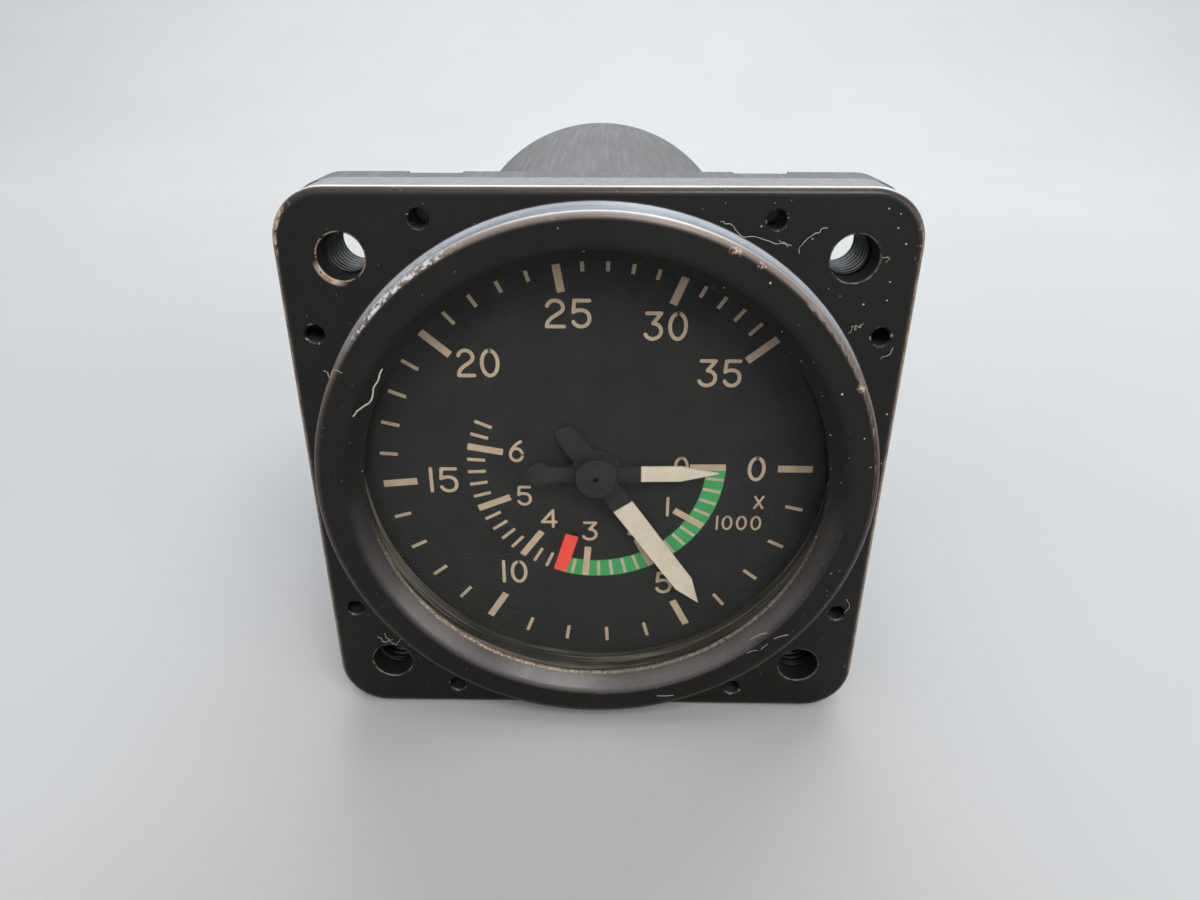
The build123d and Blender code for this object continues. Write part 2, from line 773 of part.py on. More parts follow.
sector_inset = (pinion_width - sector_thickness) / 2
altitude_sector_depth = altitude_pinion_depth + sector_inset
diff_sector_depth = diff_pinion_depth + sector_inset
with BuildPart() as altitude_sector:
    sector(altitude_sector_depth, altitude_shaft_place, altitude_mesh, altitude_travel)
altitude_sector.part.label = "altitude_sector"
export_step(altitude_sector.part, "parts/altitude_sector.step")

with BuildPart() as diff_sector:
    sector(diff_sector_depth, diff_shaft_place, diff_mesh, diff_travel)
diff_sector.part.label = "diff_sector"
export_step(diff_sector.part, "parts/diff_sector.step")


# Rocking shafts: pivots, a collar behind the sector, a lever with its pin
def rocking_shaft(place, sector_front, lever_depth, rear_plate_front, angle):
    """Shaft with pivots in the front plate and a rear plate, and the lever for the link."""
    body_front = front_plate_rear + shaft_shoulder
    body_rear = rear_plate_front - shaft_shoulder
    disc(pivot_radius, body_front - shaft_shoulder - pivot_length, body_front, [place])
    disc(shaft_radius, body_front, body_rear, [place])
    disc(pivot_radius, body_rear, body_rear + shaft_shoulder + pivot_length, [place])
    collar_front = sector_front + sector_thickness
    disc(hub_radius, collar_front, collar_front + sector_inset, [place])
    lever_front = lever_depth - lever_thickness / 2
    with BuildSketch(facing(lever_front)) as lever:
        with Locations(place):
            Circle(hub_radius)
            with PolarLocations(lever_arm / 2, 1, start_angle=angle):
                Rectangle(lever_arm, 2 * lever_half_width)
            with PolarLocations(lever_arm, 1, start_angle=angle):
                Circle(lever_half_width)
    extrude(lever.sketch, amount=-lever_thickness)
    pin_front = lever_front + lever_thickness
    pin_rear = pin_front + 2 * link_gap + link_thickness
    disc(link_pin_radius, pin_front, pin_rear, [lever_end(place, angle)])
    disc(pin_head_radius, pin_rear, pin_rear + pin_head_height, [lever_end(place, angle)])


with BuildPart() as altitude_shaft:
    rocking_shaft(
        altitude_shaft_place,
        altitude_sector_depth,
        altitude_lever_depth,
        centre_plate_depth,
        altitude_lever_angle,
    )
altitude_shaft.part.label = "altitude_shaft"
export_step(altitude_shaft.part, "parts/altitude_shaft.step")

with BuildPart() as diff_shaft:
    rocking_shaft(
        diff_shaft_place,
        diff_sector_depth,
        diff_lever_depth,
        rear_plate_depth,
        diff_lever_angle,
    )
diff_shaft.part.label = "diff_shaft"
export_step(diff_shaft.part, "parts/diff_shaft.step")


# Capsules: stacks of corrugated cells hanging from the rail by a stud
def capsule_outline():
    """Outer half outline of a stack, from the top boss down, as (radius, height) points."""
    points = [(0, rail_bottom), (capsule_boss_radius, rail_bottom)]
    level = rail_bottom - capsule_boss_height
    rim = capsule_rim_height / 2
    for cell in range(capsule_cells):
        cell_top = level
        cell_bottom = level - capsule_cell_height
        middle = (cell_top + cell_bottom) / 2
        down = [(capsule_boss_radius, cell_top)]
        for index, share in enumerate(capsule_crests):
            sag = capsule_wave if index % 2 == 0 else 0
            down.append((capsule_radius * share, cell_top - sag))
        down += [
            (capsule_radius * capsule_seam_shares[0], middle + rim + capsule_seam),
            (capsule_radius * capsule_seam_shares[1], middle + rim),
            (capsule_radius, middle + rim),
        ]
        up = [(across, 2 * middle - height) for across, height in reversed(down)]
        points += down + up
        level = cell_bottom - capsule_cell_gap
    points += [(capsule_boss_radius, capsule_bottom), (0, capsule_bottom)]
    return points


def capsule(place, stud_bore):
    """Capsule stack with hollow cells and a stud through the rail."""
    plane = Plane(origin=(place[0], place[1], 0), x_dir=(1, 0, 0), z_dir=(0, -1, 0))
    axis = Axis((place[0], place[1], 0), (0, 0, 1))
    with BuildSketch(plane) as outer:
        with BuildLine():
            Polyline(*capsule_outline(), close=True)
        make_face()
    revolve(outer.sketch, axis=axis)
    for cell in range(capsule_cells):
        cell_top = rail_bottom - capsule_boss_height - cell * (capsule_cell_height + capsule_cell_gap)
        middle = cell_top - capsule_cell_height / 2
        reach = capsule_cell_height / 2 - capsule_wave - capsule_skin
        hollow_corner = capsule_radius * capsule_crests[-1]
        hollow_edge = capsule_radius * capsule_seam_shares[0]
        with BuildSketch(plane) as hollow:
            with BuildLine():
                Polyline(
                    (0, middle - reach),
                    (hollow_corner, middle - reach),
                    (hollow_edge, middle),
                    (hollow_corner, middle + reach),
                    (0, middle + reach),
                    close=True,
                )
            make_face()
        revolve(hollow.sketch, axis=axis, mode=Mode.SUBTRACT)
    with BuildSketch(Plane.XY.offset(rail_bottom)) as stud:
        with Locations(place):
            Circle(capsule_stud_radius)
    extrude(stud.sketch, amount=capsule_stud_length)
    if stud_bore:
        first_middle = rail_bottom - capsule_boss_height - capsule_cell_height / 2
        with BuildSketch(Plane.XY.offset(first_middle)) as passage:
            with Locations(place):
                Circle(tube_radius_outer + bore_clearance)
        extrude(passage.sketch, amount=rail_bottom + capsule_stud_length - first_middle, mode=Mode.SUBTRACT)


with BuildPart() as altitude_capsule:
    capsule(altitude_capsule_place, False)
altitude_capsule.part.label = "altitude_capsule"
export_step(altitude_capsule.part, "parts/altitude_capsule.step")

with BuildPart() as diff_capsule:
    capsule(diff_capsule_place, True)
diff_capsule.part.label = "diff_capsule"
export_step(diff_capsule.part, "parts/diff_capsule.step")

with BuildPart() as capsule_nuts:
    for place in (altitude_capsule_place, diff_capsule_place):
        with BuildSketch(Plane.XY.offset(rail_bottom + rail_height)) as nut:
            with Locations(place):
                RegularPolygon(nut_radius, 6)
                Circle(capsule_stud_radius + bore_clearance, mode=Mode.SUBTRACT)
        extrude(nut.sketch, amount=nut_height)
capsule_nuts.part.label = "capsule_nuts"
export_step(capsule_nuts.part, "parts/capsule_nuts.step")

# Posts: soldered under each stack, with a cross pin for the link
post_pin_height = capsule_bottom - post_pin_drop


def post(place, lever_depth):
    """Collar under the capsule with a flat tongue and a headed pin."""
    with BuildSketch(Plane.XY.offset(capsule_bottom)) as collar:
        with Locations(place):
            Circle(post_radius)
    extrude(collar.sketch, amount=-post_collar_height)
    tongue_front = lever_depth - lever_thickness / 2
    tongue_height = post_length - post_collar_height
    with BuildSketch(facing(tongue_front)) as tongue:
        with Locations((place[0], capsule_bottom - post_collar_height - tongue_height / 2)):
            Rectangle(2 * post_half_width, tongue_height)
    extrude(tongue.sketch, amount=-lever_thickness)
    pin_front = tongue_front + lever_thickness
    pin_rear = pin_front + 2 * link_gap + link_thickness
    head_radius = pin_head_radius + open_pivot_clearance
    disc(link_pin_radius, pin_front, pin_rear, [(place[0], post_pin_height)])
    disc(head_radius, pin_rear, pin_rear + pin_head_height, [(place[0], post_pin_height)])


with BuildPart() as altitude_post:
    post(altitude_capsule_place, altitude_lever_depth)
altitude_post.part.label = "altitude_post"
export_step(altitude_post.part, "parts/altitude_post.step")

with BuildPart() as diff_post:
    post(diff_capsule_place, diff_lever_depth)
diff_post.part.label = "diff_post"
export_step(diff_post.part, "parts/diff_post.step")


# Links: flat strips with an eye at each end
def link(pin_place, lever_depth):
    """Strip from the lever's pin up to the post's pin. Its upper eye is the opened pivot."""
    link_front = lever_depth + lever_thickness / 2 + link_gap
    upper = (pin_place[0], post_pin_height)
    with BuildSketch(facing(link_front)) as strip:
        with Locations((pin_place[0], (pin_place[1] + post_pin_height) / 2)):
            Rectangle(2 * link_half_width, post_pin_height - pin_place[1])
        with Locations(pin_place, upper):
            Circle(link_eye_radius)
        with Locations(pin_place):
            Circle(link_pin_radius + link_clearance, mode=Mode.SUBTRACT)
        with Locations(upper):
            Circle(link_pin_radius + open_pivot_clearance, mode=Mode.SUBTRACT)
    extrude(strip.sketch, amount=-link_thickness)


with BuildPart() as altitude_link:
    link(altitude_pin_place, altitude_lever_depth)
altitude_link.part.label = "altitude_link"
export_step(altitude_link.part, "parts/altitude_link.step")

with BuildPart() as diff_link:
    link(diff_pin_place, diff_lever_depth)
diff_link.part.label = "diff_link"
export_step(diff_link.part, "parts/diff_link.step")


# Pointer arbors. The altitude pointer rides on the tube, the differential pointer on the arbor in it
def spring_collet(spring_front):
    """Collet that holds the inner end of a hairspring, a little wider than the spring."""
    disc(collet_radius, spring_front - collet_margin, spring_front + spring_height + collet_margin)


altitude_spring_depth = altitude_pinion_depth - spring_gap - collet_margin - spring_height
diff_spring_depth = diff_pinion_depth + pinion_width + spring_gap + collet_margin
arbor_front = diff_pointer_depth - arbor_proud
tube_front = altitude_pointer_depth + altitude_pointer_thickness
tube_rear = altitude_pinion_depth + pinion_width
with BuildPart() as altitude_pinion:
    disc(tube_radius, tube_front, tube_rear)
    spring_collet(altitude_spring_depth)
    pinion(altitude_pinion_depth, altitude_mesh + 180)
    disc(arbor_radius + tube_clearance, tube_front, tube_rear, mode=Mode.SUBTRACT)
altitude_pinion.part.label = "altitude_pinion"
export_step(altitude_pinion.part, "parts/altitude_pinion.step")

with BuildPart() as diff_pinion:
    arbor_body_rear = middle_plate_depth - shaft_shoulder
    disc(arbor_radius, arbor_front, arbor_body_rear)
    disc(pivot_radius, arbor_body_rear, arbor_body_rear + shaft_shoulder + pivot_length)
    spring_collet(diff_spring_depth)
    pinion(diff_pinion_depth, diff_mesh + 180)
diff_pinion.part.label = "diff_pinion"
export_step(diff_pinion.part, "parts/diff_pinion.step")


# Pointers: flat blades with a shouldered point, a round hub and a balancing tail.
# A boss on the front one covers the end of its arbor
def pointer(front, thickness, turn, tip, shoulder, half_widths, hub, tail, tail_half_width, weight, hole):
    """Flat pointer turned to its place at rest, anticlockwise from three o'clock."""
    along = (cos(radians(turn)), 0, sin(radians(turn)))
    root, neck = half_widths
    with BuildSketch(Plane(origin=(0, front, 0), x_dir=along, z_dir=(0, -1, 0))) as blade:
        with BuildLine():
            Polyline((0, -root), (shoulder, -neck), (tip, 0), (shoulder, neck), (0, root), close=True)
        make_face()
        Circle(hub)
        with Locations((-tail / 2, 0)):
            Rectangle(tail, 2 * tail_half_width)
        with Locations((-tail, 0)):
            Circle(weight)
        Circle(hole, mode=Mode.SUBTRACT)
    extrude(blade.sketch, amount=-thickness)


with BuildPart() as altitude_pointer:
    pointer(
        altitude_pointer_depth,
        altitude_pointer_thickness,
        altitude_rest,
        altitude_tip,
        altitude_shoulder,
        (altitude_root_half_width, altitude_half_width),
        altitude_hub_radius,
        altitude_tail,
        altitude_tail_half_width,
        altitude_tail_half_width,
        arbor_radius + tube_clearance,
    )
altitude_pointer.part.label = "altitude_pointer"
export_step(altitude_pointer.part, "parts/altitude_pointer.step")

with BuildPart() as diff_pointer:
    pointer(
        diff_pointer_depth,
        diff_pointer_thickness,
        diff_rest,
        diff_tip,
        diff_shoulder,
        (diff_half_width, diff_half_width),
        diff_hub_radius,
        diff_tail,
        diff_tail_half_width,
        diff_weight_radius,
        arbor_radius,
    )
    boss_front = diff_pointer_depth - hub_boss_height
    disc(hub_boss_radius, boss_front, diff_pointer_depth)
    boss_rims = diff_pointer.edges().filter_by(GeomType.CIRCLE).sort_by(Axis.Y)
    fillet(boss_rims[0], hub_boss_round)
    disc(arbor_radius, arbor_front, diff_pointer_depth, mode=Mode.SUBTRACT)
    disc(hub_boss_bore_radius, boss_front, arbor_front, mode=Mode.SUBTRACT)
diff_pointer.part.label = "diff_pointer"
export_step(diff_pointer.part, "parts/diff_pointer.step")


# Hairsprings: flat spirals of half circles from the collet out to a stud
def hairspring(front):
    """Spiral of half circles; each half circle is half a pitch larger than the last."""
    with BuildSketch(facing(front)) as coil:
        with BuildLine() as path:
            radius = collet_radius + spring_width / 2
            centre = 0.0
            side = 1
            for _ in range(2 * spring_turns):
                start = centre + side * radius
                top = (centre, side * radius)
                end = centre - side * radius
                ThreePointArc((start, 0), top, (end, 0))
                radius += spring_pitch / 2
                centre = end + side * radius
                side = -side
        trace(path.line, line_width=spring_width)
    extrude(coil.sketch, amount=-spring_height)


with BuildPart() as altitude_hairspring:
    hairspring(altitude_spring_depth)
altitude_hairspring.part.label = "altitude_hairspring"
export_step(altitude_hairspring.part, "parts/altitude_hairspring.step")

with BuildPart() as diff_hairspring:
    hairspring(diff_spring_depth)
diff_hairspring.part.label = "diff_hairspring"
export_step(diff_hairspring.part, "parts/diff_hairspring.step")

# Hairspring studs: they stand on the plates beside the springs' outer ends
spring_end = collet_radius + spring_width + spring_turns * spring_pitch
stud_place = [(spring_end + spring_stud_clearance + spring_stud_radius, 0)]
with BuildPart() as hairspring_studs:
    altitude_stud_end = altitude_spring_depth + spring_height + collet_margin
    disc(spring_stud_radius, front_plate_rear, altitude_stud_end, stud_place)
    disc(spring_stud_radius, diff_spring_depth - collet_margin, middle_plate_depth, stud_place)
hairspring_studs.part.label = "hairspring_studs"
export_step(hairspring_studs.part, "parts/hairspring_studs.step")

# Static port: hexagonal fitting in the end wall, threaded inside, with a small bore for the tube
static_outer = case_length + port_hex_height
static_place = [port_places["static"]]
with BuildPart() as static_fitting:
    disc(port_body_radius, static_inner, case_length, static_place)
    with BuildSketch(facing(case_length)) as port_hex:
        with Locations(port_places["static"]):
            RegularPolygon(port_hex_radius, 6)
    extrude(port_hex.sketch, amount=-port_hex_height)
    disc(port_bore_radius, static_outer - port_thread_depth, static_outer, static_place, Mode.SUBTRACT)
    tube_socket = tube_radius_outer + bore_clearance
    disc(tube_socket, static_inner, static_outer - port_thread_depth, static_place, Mode.SUBTRACT)
static_fitting.part.label = "static_fitting"
export_step(static_fitting.part, "parts/static_fitting.step")

# Tube from the static port, up behind the rear plate and down into the differential capsule's stud
tube_height = case_bore_radius - tube_clearance_above
tube_rise = rear_plate_rear + tube_run_behind_plate
with BuildPart() as static_tube:
    with BuildLine() as tube_path:
        FilletPolyline(
            (0, static_inner + tube_insertion, port_height),
            (0, tube_rise, port_height),
            (0, tube_rise, tube_height),
            (diff_capsule_place[0], diff_lever_depth, tube_height),
            (diff_capsule_place[0], diff_lever_depth, rail_bottom + rail_height),
            radius=tube_bend,
        )
    with BuildSketch(Plane(origin=tube_path.line @ 0, z_dir=tube_path.line % 0)):
        Circle(tube_radius_outer)
        Circle(tube_bore_radius, mode=Mode.SUBTRACT)
    sweep(path=tube_path.line)
static_tube.part.label = "static_tube"
export_step(static_tube.part, "parts/static_tube.step")

# Vent: fitting that opens the case to the cabin, with a screen disc inside it
vent_place = [port_places["vent"]]
vent_outer = case_length + vent_hex_height
vent_inner = case_length - case_end_wall
screen_radius = vent_bore_radius + screen_margin
with BuildPart() as vent_fitting:
    disc(vent_body_radius, vent_inner, case_length, vent_place)
    with BuildSketch(facing(case_length)) as vent_hex:
        with Locations(port_places["vent"]):
            RegularPolygon(vent_hex_radius, 6)
    extrude(vent_hex.sketch, amount=-vent_hex_height)
    disc(vent_bore_radius, vent_inner, vent_outer, vent_place, Mode.SUBTRACT)
    disc(screen_radius, vent_inner, vent_inner + screen_thickness, vent_place, Mode.SUBTRACT)
vent_fitting.part.label = "vent_fitting"
export_step(vent_fitting.part, "parts/vent_fitting.step")

with BuildPart() as vent_screen:
    disc(screen_radius, vent_inner, vent_inner + screen_thickness, vent_place)
vent_screen.part.label = "vent_screen"
export_step(vent_screen.part, "parts/vent_screen.step")
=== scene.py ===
import math
import random

import bpy
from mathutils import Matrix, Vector


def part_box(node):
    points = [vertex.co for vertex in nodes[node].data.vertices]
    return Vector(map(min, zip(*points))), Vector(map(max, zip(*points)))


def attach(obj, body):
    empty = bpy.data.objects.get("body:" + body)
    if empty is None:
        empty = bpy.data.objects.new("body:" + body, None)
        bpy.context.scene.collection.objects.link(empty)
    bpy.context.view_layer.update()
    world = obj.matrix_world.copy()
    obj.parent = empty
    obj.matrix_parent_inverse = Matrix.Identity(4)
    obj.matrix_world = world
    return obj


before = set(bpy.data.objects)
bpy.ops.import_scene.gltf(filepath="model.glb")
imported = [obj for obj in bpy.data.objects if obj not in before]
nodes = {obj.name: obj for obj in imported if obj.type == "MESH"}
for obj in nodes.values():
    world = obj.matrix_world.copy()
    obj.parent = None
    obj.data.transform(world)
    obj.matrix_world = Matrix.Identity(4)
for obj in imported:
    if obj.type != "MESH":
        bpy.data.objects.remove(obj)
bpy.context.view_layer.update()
rng = random.Random(41)

MM = 0.001

# Sizes of the casting, in millimetres, for the places of wear
FLANGE_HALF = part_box("bezel")[1].x / MM
FLANGE_CORNER = 5.3
RING_HEIGHT = -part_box("bezel")[0].y / MM
RING_RADIUS = FLANGE_HALF - 1.55
LAND_WIDTH = 3.2
BEVEL_WIDTH = 1.54
LIP_RADIUS = RING_RADIUS - LAND_WIDTH - BEVEL_WIDTH
MOUNT_HALF = FLANGE_HALF - 6.35
MOUNT_RADIUS = 2.25
TAP_NEAR = 16.3
TAP_FAR = 27.3
TAP_RADIUS = 0.9

# Pitches of the inserts' thread and of the vent's screen, in millimetres
THREAD_PITCH = 0.8
SCREEN_PITCH = 0.35


# Small node helpers

def feed(tree, socket, value):
    """Links a node's output to the socket, or sets a plain value on it."""
    if isinstance(value, bpy.types.NodeSocket):
        tree.links.new(value, socket)
    else:
        socket.default_value = value


def add(tree, kind, inputs=(), **settings):
    """A node of the kind, with its settings and then its inputs, by name or number."""
    made = tree.nodes.new(kind)
    for name, value in settings.items():
        setattr(made, name, value)
    for socket, value in dict(inputs).items():
        feed(tree, made.inputs[socket], value)
    return made


def colour(red, green, blue):
    """A colour given as it looks on screen, from 0 to 255, for a shader socket."""
    def linear(level):
        level /= 255
        return level / 12.92 if level <= 0.04045 else ((level + 0.055) / 1.055) ** 2.4
    return (linear(red), linear(green), linear(blue), 1.0)


def object_point(tree):
    """The point on the object, in its own frame, in metres."""
    return add(tree, "ShaderNodeTexCoord").outputs["Object"]


def place(tree, stretch=(1, 1, 1), shift=(0, 0, 0)):
    """The point on the object, stretched and then shifted."""
    return add(tree, "ShaderNodeMapping", {
        "Vector": object_point(tree), "Scale": stretch, "Location": shift}).outputs[0]


def noise(tree, size, detail=3.0, rough=0.55, stretch=(1, 1, 1), shift=(0, 0, 0)):
    """Noise with features about size millimetres across."""
    return add(tree, "ShaderNodeTexNoise", {
        "Vector": place(tree, stretch, shift), "Scale": 1000.0 / size,
        "Detail": detail, "Roughness": rough}).outputs["Fac"]


def level(tree, value, low, high, start=0.0, end=1.0):
    """value between low and high, mapped to start and end and held there."""
    return add(tree, "ShaderNodeMapRange", {
        "Value": value, "From Min": low, "From Max": high,
        "To Min": start, "To Max": end}).outputs["Result"]


def maths(tree, operation, first, second=0.0):
    """One step of arithmetic on sockets or numbers."""
    return add(tree, "ShaderNodeMath", {0: first, 1: second}, operation=operation).outputs[0]


def reach_of(tree, x, z):
    """How far (x, z) lies from (0, 0)."""
    return maths(tree, "SQRT", maths(tree, "ADD", maths(tree, "MULTIPLY", x, x),
                                     maths(tree, "MULTIPLY", z, z)))


def far_from(tree, x, z, px, pz):
    """How far the point lies from (px, pz), seen from the front."""
    return reach_of(tree, maths(tree, "SUBTRACT", x, px), maths(tree, "SUBTRACT", z, pz))


def facing(tree):
    """The parts of the normal: Z is 1 on level tops and 0 on walls."""
    normal = add(tree, "ShaderNodeNewGeometry").outputs["Normal"]
    return add(tree, "ShaderNodeSeparateXYZ", {0: normal}).outputs


def both(tree, *masks):
    """The masks multiplied: 1 only where all of them are."""
    out = masks[0]
    for mask in masks[1:]:
        out = maths(tree, "MULTIPLY", out, mask)
    return out


def either(tree, *masks):
    """The largest of the masks at each point."""
    out = masks[0]
    for mask in masks[1:]:
        out = maths(tree, "MAXIMUM", out, mask)
    return out


def mixed(tree, factor, first, second):
    """The first colour where the factor is 0, the second where it is 1."""
    made = add(tree, "ShaderNodeMix", {"Factor": factor}, data_type="RGBA")
    feed(tree, made.inputs[6], first)
    feed(tree, made.inputs[7], second)
    return made.outputs[2]


def relief(tree, height, depth):
    """A bump of the given depth in millimetres."""
    inputs = {"Height": height, "Distance": depth * MM, "Strength": 1.0}
    return add(tree, "ShaderNodeBump", inputs).outputs["Normal"]


def edge_wear(tree, width):
    """1 along edges and 0 on the flats, over about width millimetres."""
    rounded = add(tree, "ShaderNodeBevel", {"Radius": width * MM}, samples=6).outputs[0]
    true = add(tree, "ShaderNodeNewGeometry").outputs["Normal"]
    alike = add(tree, "ShaderNodeVectorMath", {0: rounded, 1: true}, operation="DOT_PRODUCT")
    return level(tree, alike.outputs["Value"], 0.985, 0.8)


def along(tree, way):
    """How far the point on the object lies along a direction, in metres."""
    made = add(tree, "ShaderNodeVectorMath", {0: object_point(tree), 1: way}, operation="DOT_PRODUCT")
    return made.outputs["Value"]


def near(tree, spot, reach, soft=0.5):
    """1 at a spot of the object given in millimetres, falling to 0 at reach millimetres."""
    away = add(tree, "ShaderNodeVectorMath", {0: object_point(tree), 1: tuple(v * MM for v in spot)},
               operation="DISTANCE")
    return level(tree, away.outputs["Value"], reach * MM, reach * MM * soft)


def material(name):
    """A new material with its node tree and its shader."""
    made = bpy.data.materials.new(name)
    made.use_nodes = True
    tree = made.node_tree
    return made, tree, tree.nodes["Principled BSDF"]


def dress(finish, *names):
    """Gives the finish to the named parts."""
    for name in names:
        slots = nodes[name].data.materials
        slots.clear()
        slots.append(finish)


# Paints

def specks(tree, spacing, radius, share, seed):
    """Round dust specks: radius and spacing in millimetres, on a share of the cells."""
    cells = add(tree, "ShaderNodeTexVoronoi", {
        "Vector": place(tree, shift=(seed, 0, seed)), "Scale": 1000.0 / spacing})
    dot = level(tree, cells.outputs["Distance"], radius / spacing, 0.6 * radius / spacing)
    pick = add(tree, "ShaderNodeSeparateXYZ", {0: cells.outputs["Color"]}).outputs["X"]
    return maths(tree, "MULTIPLY", dot, level(tree, pick, 1 - share, 1 - share + 0.01))


def chips(tree, mask, size, cover, seed):
    """A mask broken up by noise: cover is how much of it stays, from 0 to 1."""
    rough = noise(tree, size, 6, 0.7, shift=(seed, seed, seed))
    low = 0.68 - 0.36 * cover
    return maths(tree, "MULTIPLY", mask, level(tree, rough, low, low + 0.05))


def flange_points(tree):
    """Millimetres of the point: across, depth and height, then distance from the centre line."""
    point = add(tree, "ShaderNodeVectorMath", {0: object_point(tree), 3: 1.0 / MM}, operation="SCALE")
    parts = add(tree, "ShaderNodeSeparateXYZ", {0: point.outputs[0]}).outputs
    x, y, z = parts["X"], parts["Y"], parts["Z"]
    return x, y, z, reach_of(tree, x, z)


def bezel_paint(name):
    """Semi-gloss black paint on the casting: rubbed edges and rims, chips, dust and fine specks, with painted
    highlights and sky reflections on its edges and tops and painted shade in its mounting holes.
    """
    made, tree, shader = material(name)
    x, y, z, radius = flange_points(tree)
    across, height = maths(tree, "ABSOLUTE", x), maths(tree, "ABSOLUTE", z)
    # How far in from the flange's rounded outline, and how far round its front edge
    corner_x = maths(tree, "MAXIMUM", maths(tree, "SUBTRACT", across, FLANGE_HALF - FLANGE_CORNER), 0.0)
    corner_z = maths(tree, "MAXIMUM", maths(tree, "SUBTRACT", height, FLANGE_HALF - FLANGE_CORNER), 0.0)
    inside = maths(tree, "SUBTRACT", FLANGE_CORNER, reach_of(tree, corner_x, corner_z))
    round_edge = maths(tree, "ADD", inside, y)
    on_flange = level(tree, y, -0.3, -0.1)
    edge_line = both(tree, level(tree, round_edge, 0.56, 0.49), on_flange)
    edge_wide = both(tree, level(tree, round_edge, 1.0, 0.65), on_flange)
    # The side edges are rubbed more than the top one, and carry a painted highlight line
    sides = level(tree, maths(tree, "SUBTRACT", across, height), 0.0, 3.0)
    # The ring's outer edge and its worn inner lip
    ring_edge = maths(tree, "SUBTRACT", maths(tree, "ADD", y, RING_RADIUS + RING_HEIGHT), radius)
    on_ring = level(tree, y, -0.8, -1.0)
    ring_line = both(tree, level(tree, ring_edge, 0.62, 0.5), on_ring)
    ring_wall = both(tree, level(tree, radius, RING_RADIUS - 0.3, RING_RADIUS - 0.1),
                     level(tree, y, -0.2, -0.4), level(tree, y, -2.2, -1.5))
    lip_line = both(tree, level(tree, radius, LIP_RADIUS + 0.22, LIP_RADIUS + 0.1),
                    level(tree, y, -0.6, -1.0))
    # Rims of the mounting holes and of the tapped holes
    front = level(tree, y, 0.25, 0.1)
    from_hole = far_from(tree, across, height, MOUNT_HALF, MOUNT_HALF)
    past_hole = level(tree, from_hole, MOUNT_RADIUS, MOUNT_RADIUS + 0.03)
    mount_rim = both(tree, level(tree, from_hole, MOUNT_RADIUS + 0.17, MOUNT_RADIUS + 0.11), past_hole)
    from_tap = maths(tree, "MINIMUM", far_from(tree, across, height, TAP_NEAR, TAP_FAR),
                     far_from(tree, across, height, TAP_FAR, TAP_NEAR))
    tap_rim = both(tree, level(tree, from_tap, TAP_RADIUS + 0.22, TAP_RADIUS + 0.16),
                   level(tree, from_tap, TAP_RADIUS - 0.02, TAP_RADIUS + 0.03))
    mount_rim, tap_rim = both(tree, mount_rim, front), both(tree, tap_rim, front)
    # How far the face looks up, and toward the reader
    normal = facing(tree)
    up, toward = normal["Z"], maths(tree, "MULTIPLY", normal["Y"], -1.0)

    def spot(px, py, pz, reach, soft=0.4):
        return near(tree, (px, py, pz), reach, soft)

    wear_and_edge_highlight = either(
        tree,
        # The flange's front edge: a rubbed line down the sides that is also a painted highlight, small chips,
        # and worn corners
        both(tree, edge_line, sides,
             level(tree, noise(tree, 2.2, 4, 0.6, shift=(0, 4, 1)), 0.35, 0.65, 0.12, 0.5)),
        chips(tree, both(tree, edge_line, level(tree, sides, 0.0, 1.0, 0.25, 1.0)), 0.7, 0.12, 1.5),
        chips(tree, both(tree, edge_wide, either(tree, spot(29.8, 0.3, 24.5, 3.0),
                                                 spot(29.9, 0.3, 3.0, 2.0))), 0.8, 0.28, 2.0),
        chips(tree, both(tree, level(tree, round_edge, 0.68, 0.58), on_flange,
                         spot(-29.7, 0.3, 26.6, 3.0, 0.6)), 0.9, 0.66, 2.5),
        # The holes: most at the upper left mounting hole, least at the lower right one
        both(tree, chips(tree, mount_rim, 1.0, 0.62, 3.0),
             level(tree, maths(tree, "SUBTRACT", z, x), 50.0, -10.0, 0.75, 0.2)),
        chips(tree, both(tree, level(tree, far_from(tree, x, z, -MOUNT_HALF, MOUNT_HALF), 2.85, 2.65),
                         past_hole, front, spot(-25.3, 0.0, 21.8, 2.0)), 0.7, 0.86, 4.0),
        chips(tree, tap_rim, 0.7, 0.3, 5.0),
        # The ring's edge, with three knocks at the upper right, and its lip
        chips(tree, ring_line, 1.2, 0.06, 6.0),
        chips(tree, both(tree, on_ring, level(tree, ring_edge, 1.1, 0.6),
                         either(tree, spot(12.3, -3.0, 25.1, 0.7), spot(25.1, -3.0, 12.2, 0.6),
                                spot(14.6, -3.0, 23.9, 0.4))), 0.35, 0.6, 7.0),
        chips(tree, lip_line, 0.5, 0.16, 9.0),
        both(tree, chips(tree, both(tree, lip_line, level(tree, up, 0.1, 0.4)), 0.25, 0.75, 9.5), 0.35),
        chips(tree, both(tree, lip_line, spot(-13.0, -1.5, -19.5, 11.0, 0.6)), 0.25, 0.5, 10.0))
    cloud = noise(tree, 9, 4, 0.6, shift=(1.7, 0, 0))
    paint = mixed(tree, level(tree, cloud, 0.35, 0.7), colour(13, 12, 11), colour(20, 18, 16))
    metal = mixed(tree, level(tree, noise(tree, 0.8, 4, 0.7), 0.42, 0.58),
                  colour(168, 134, 106), colour(196, 178, 158))
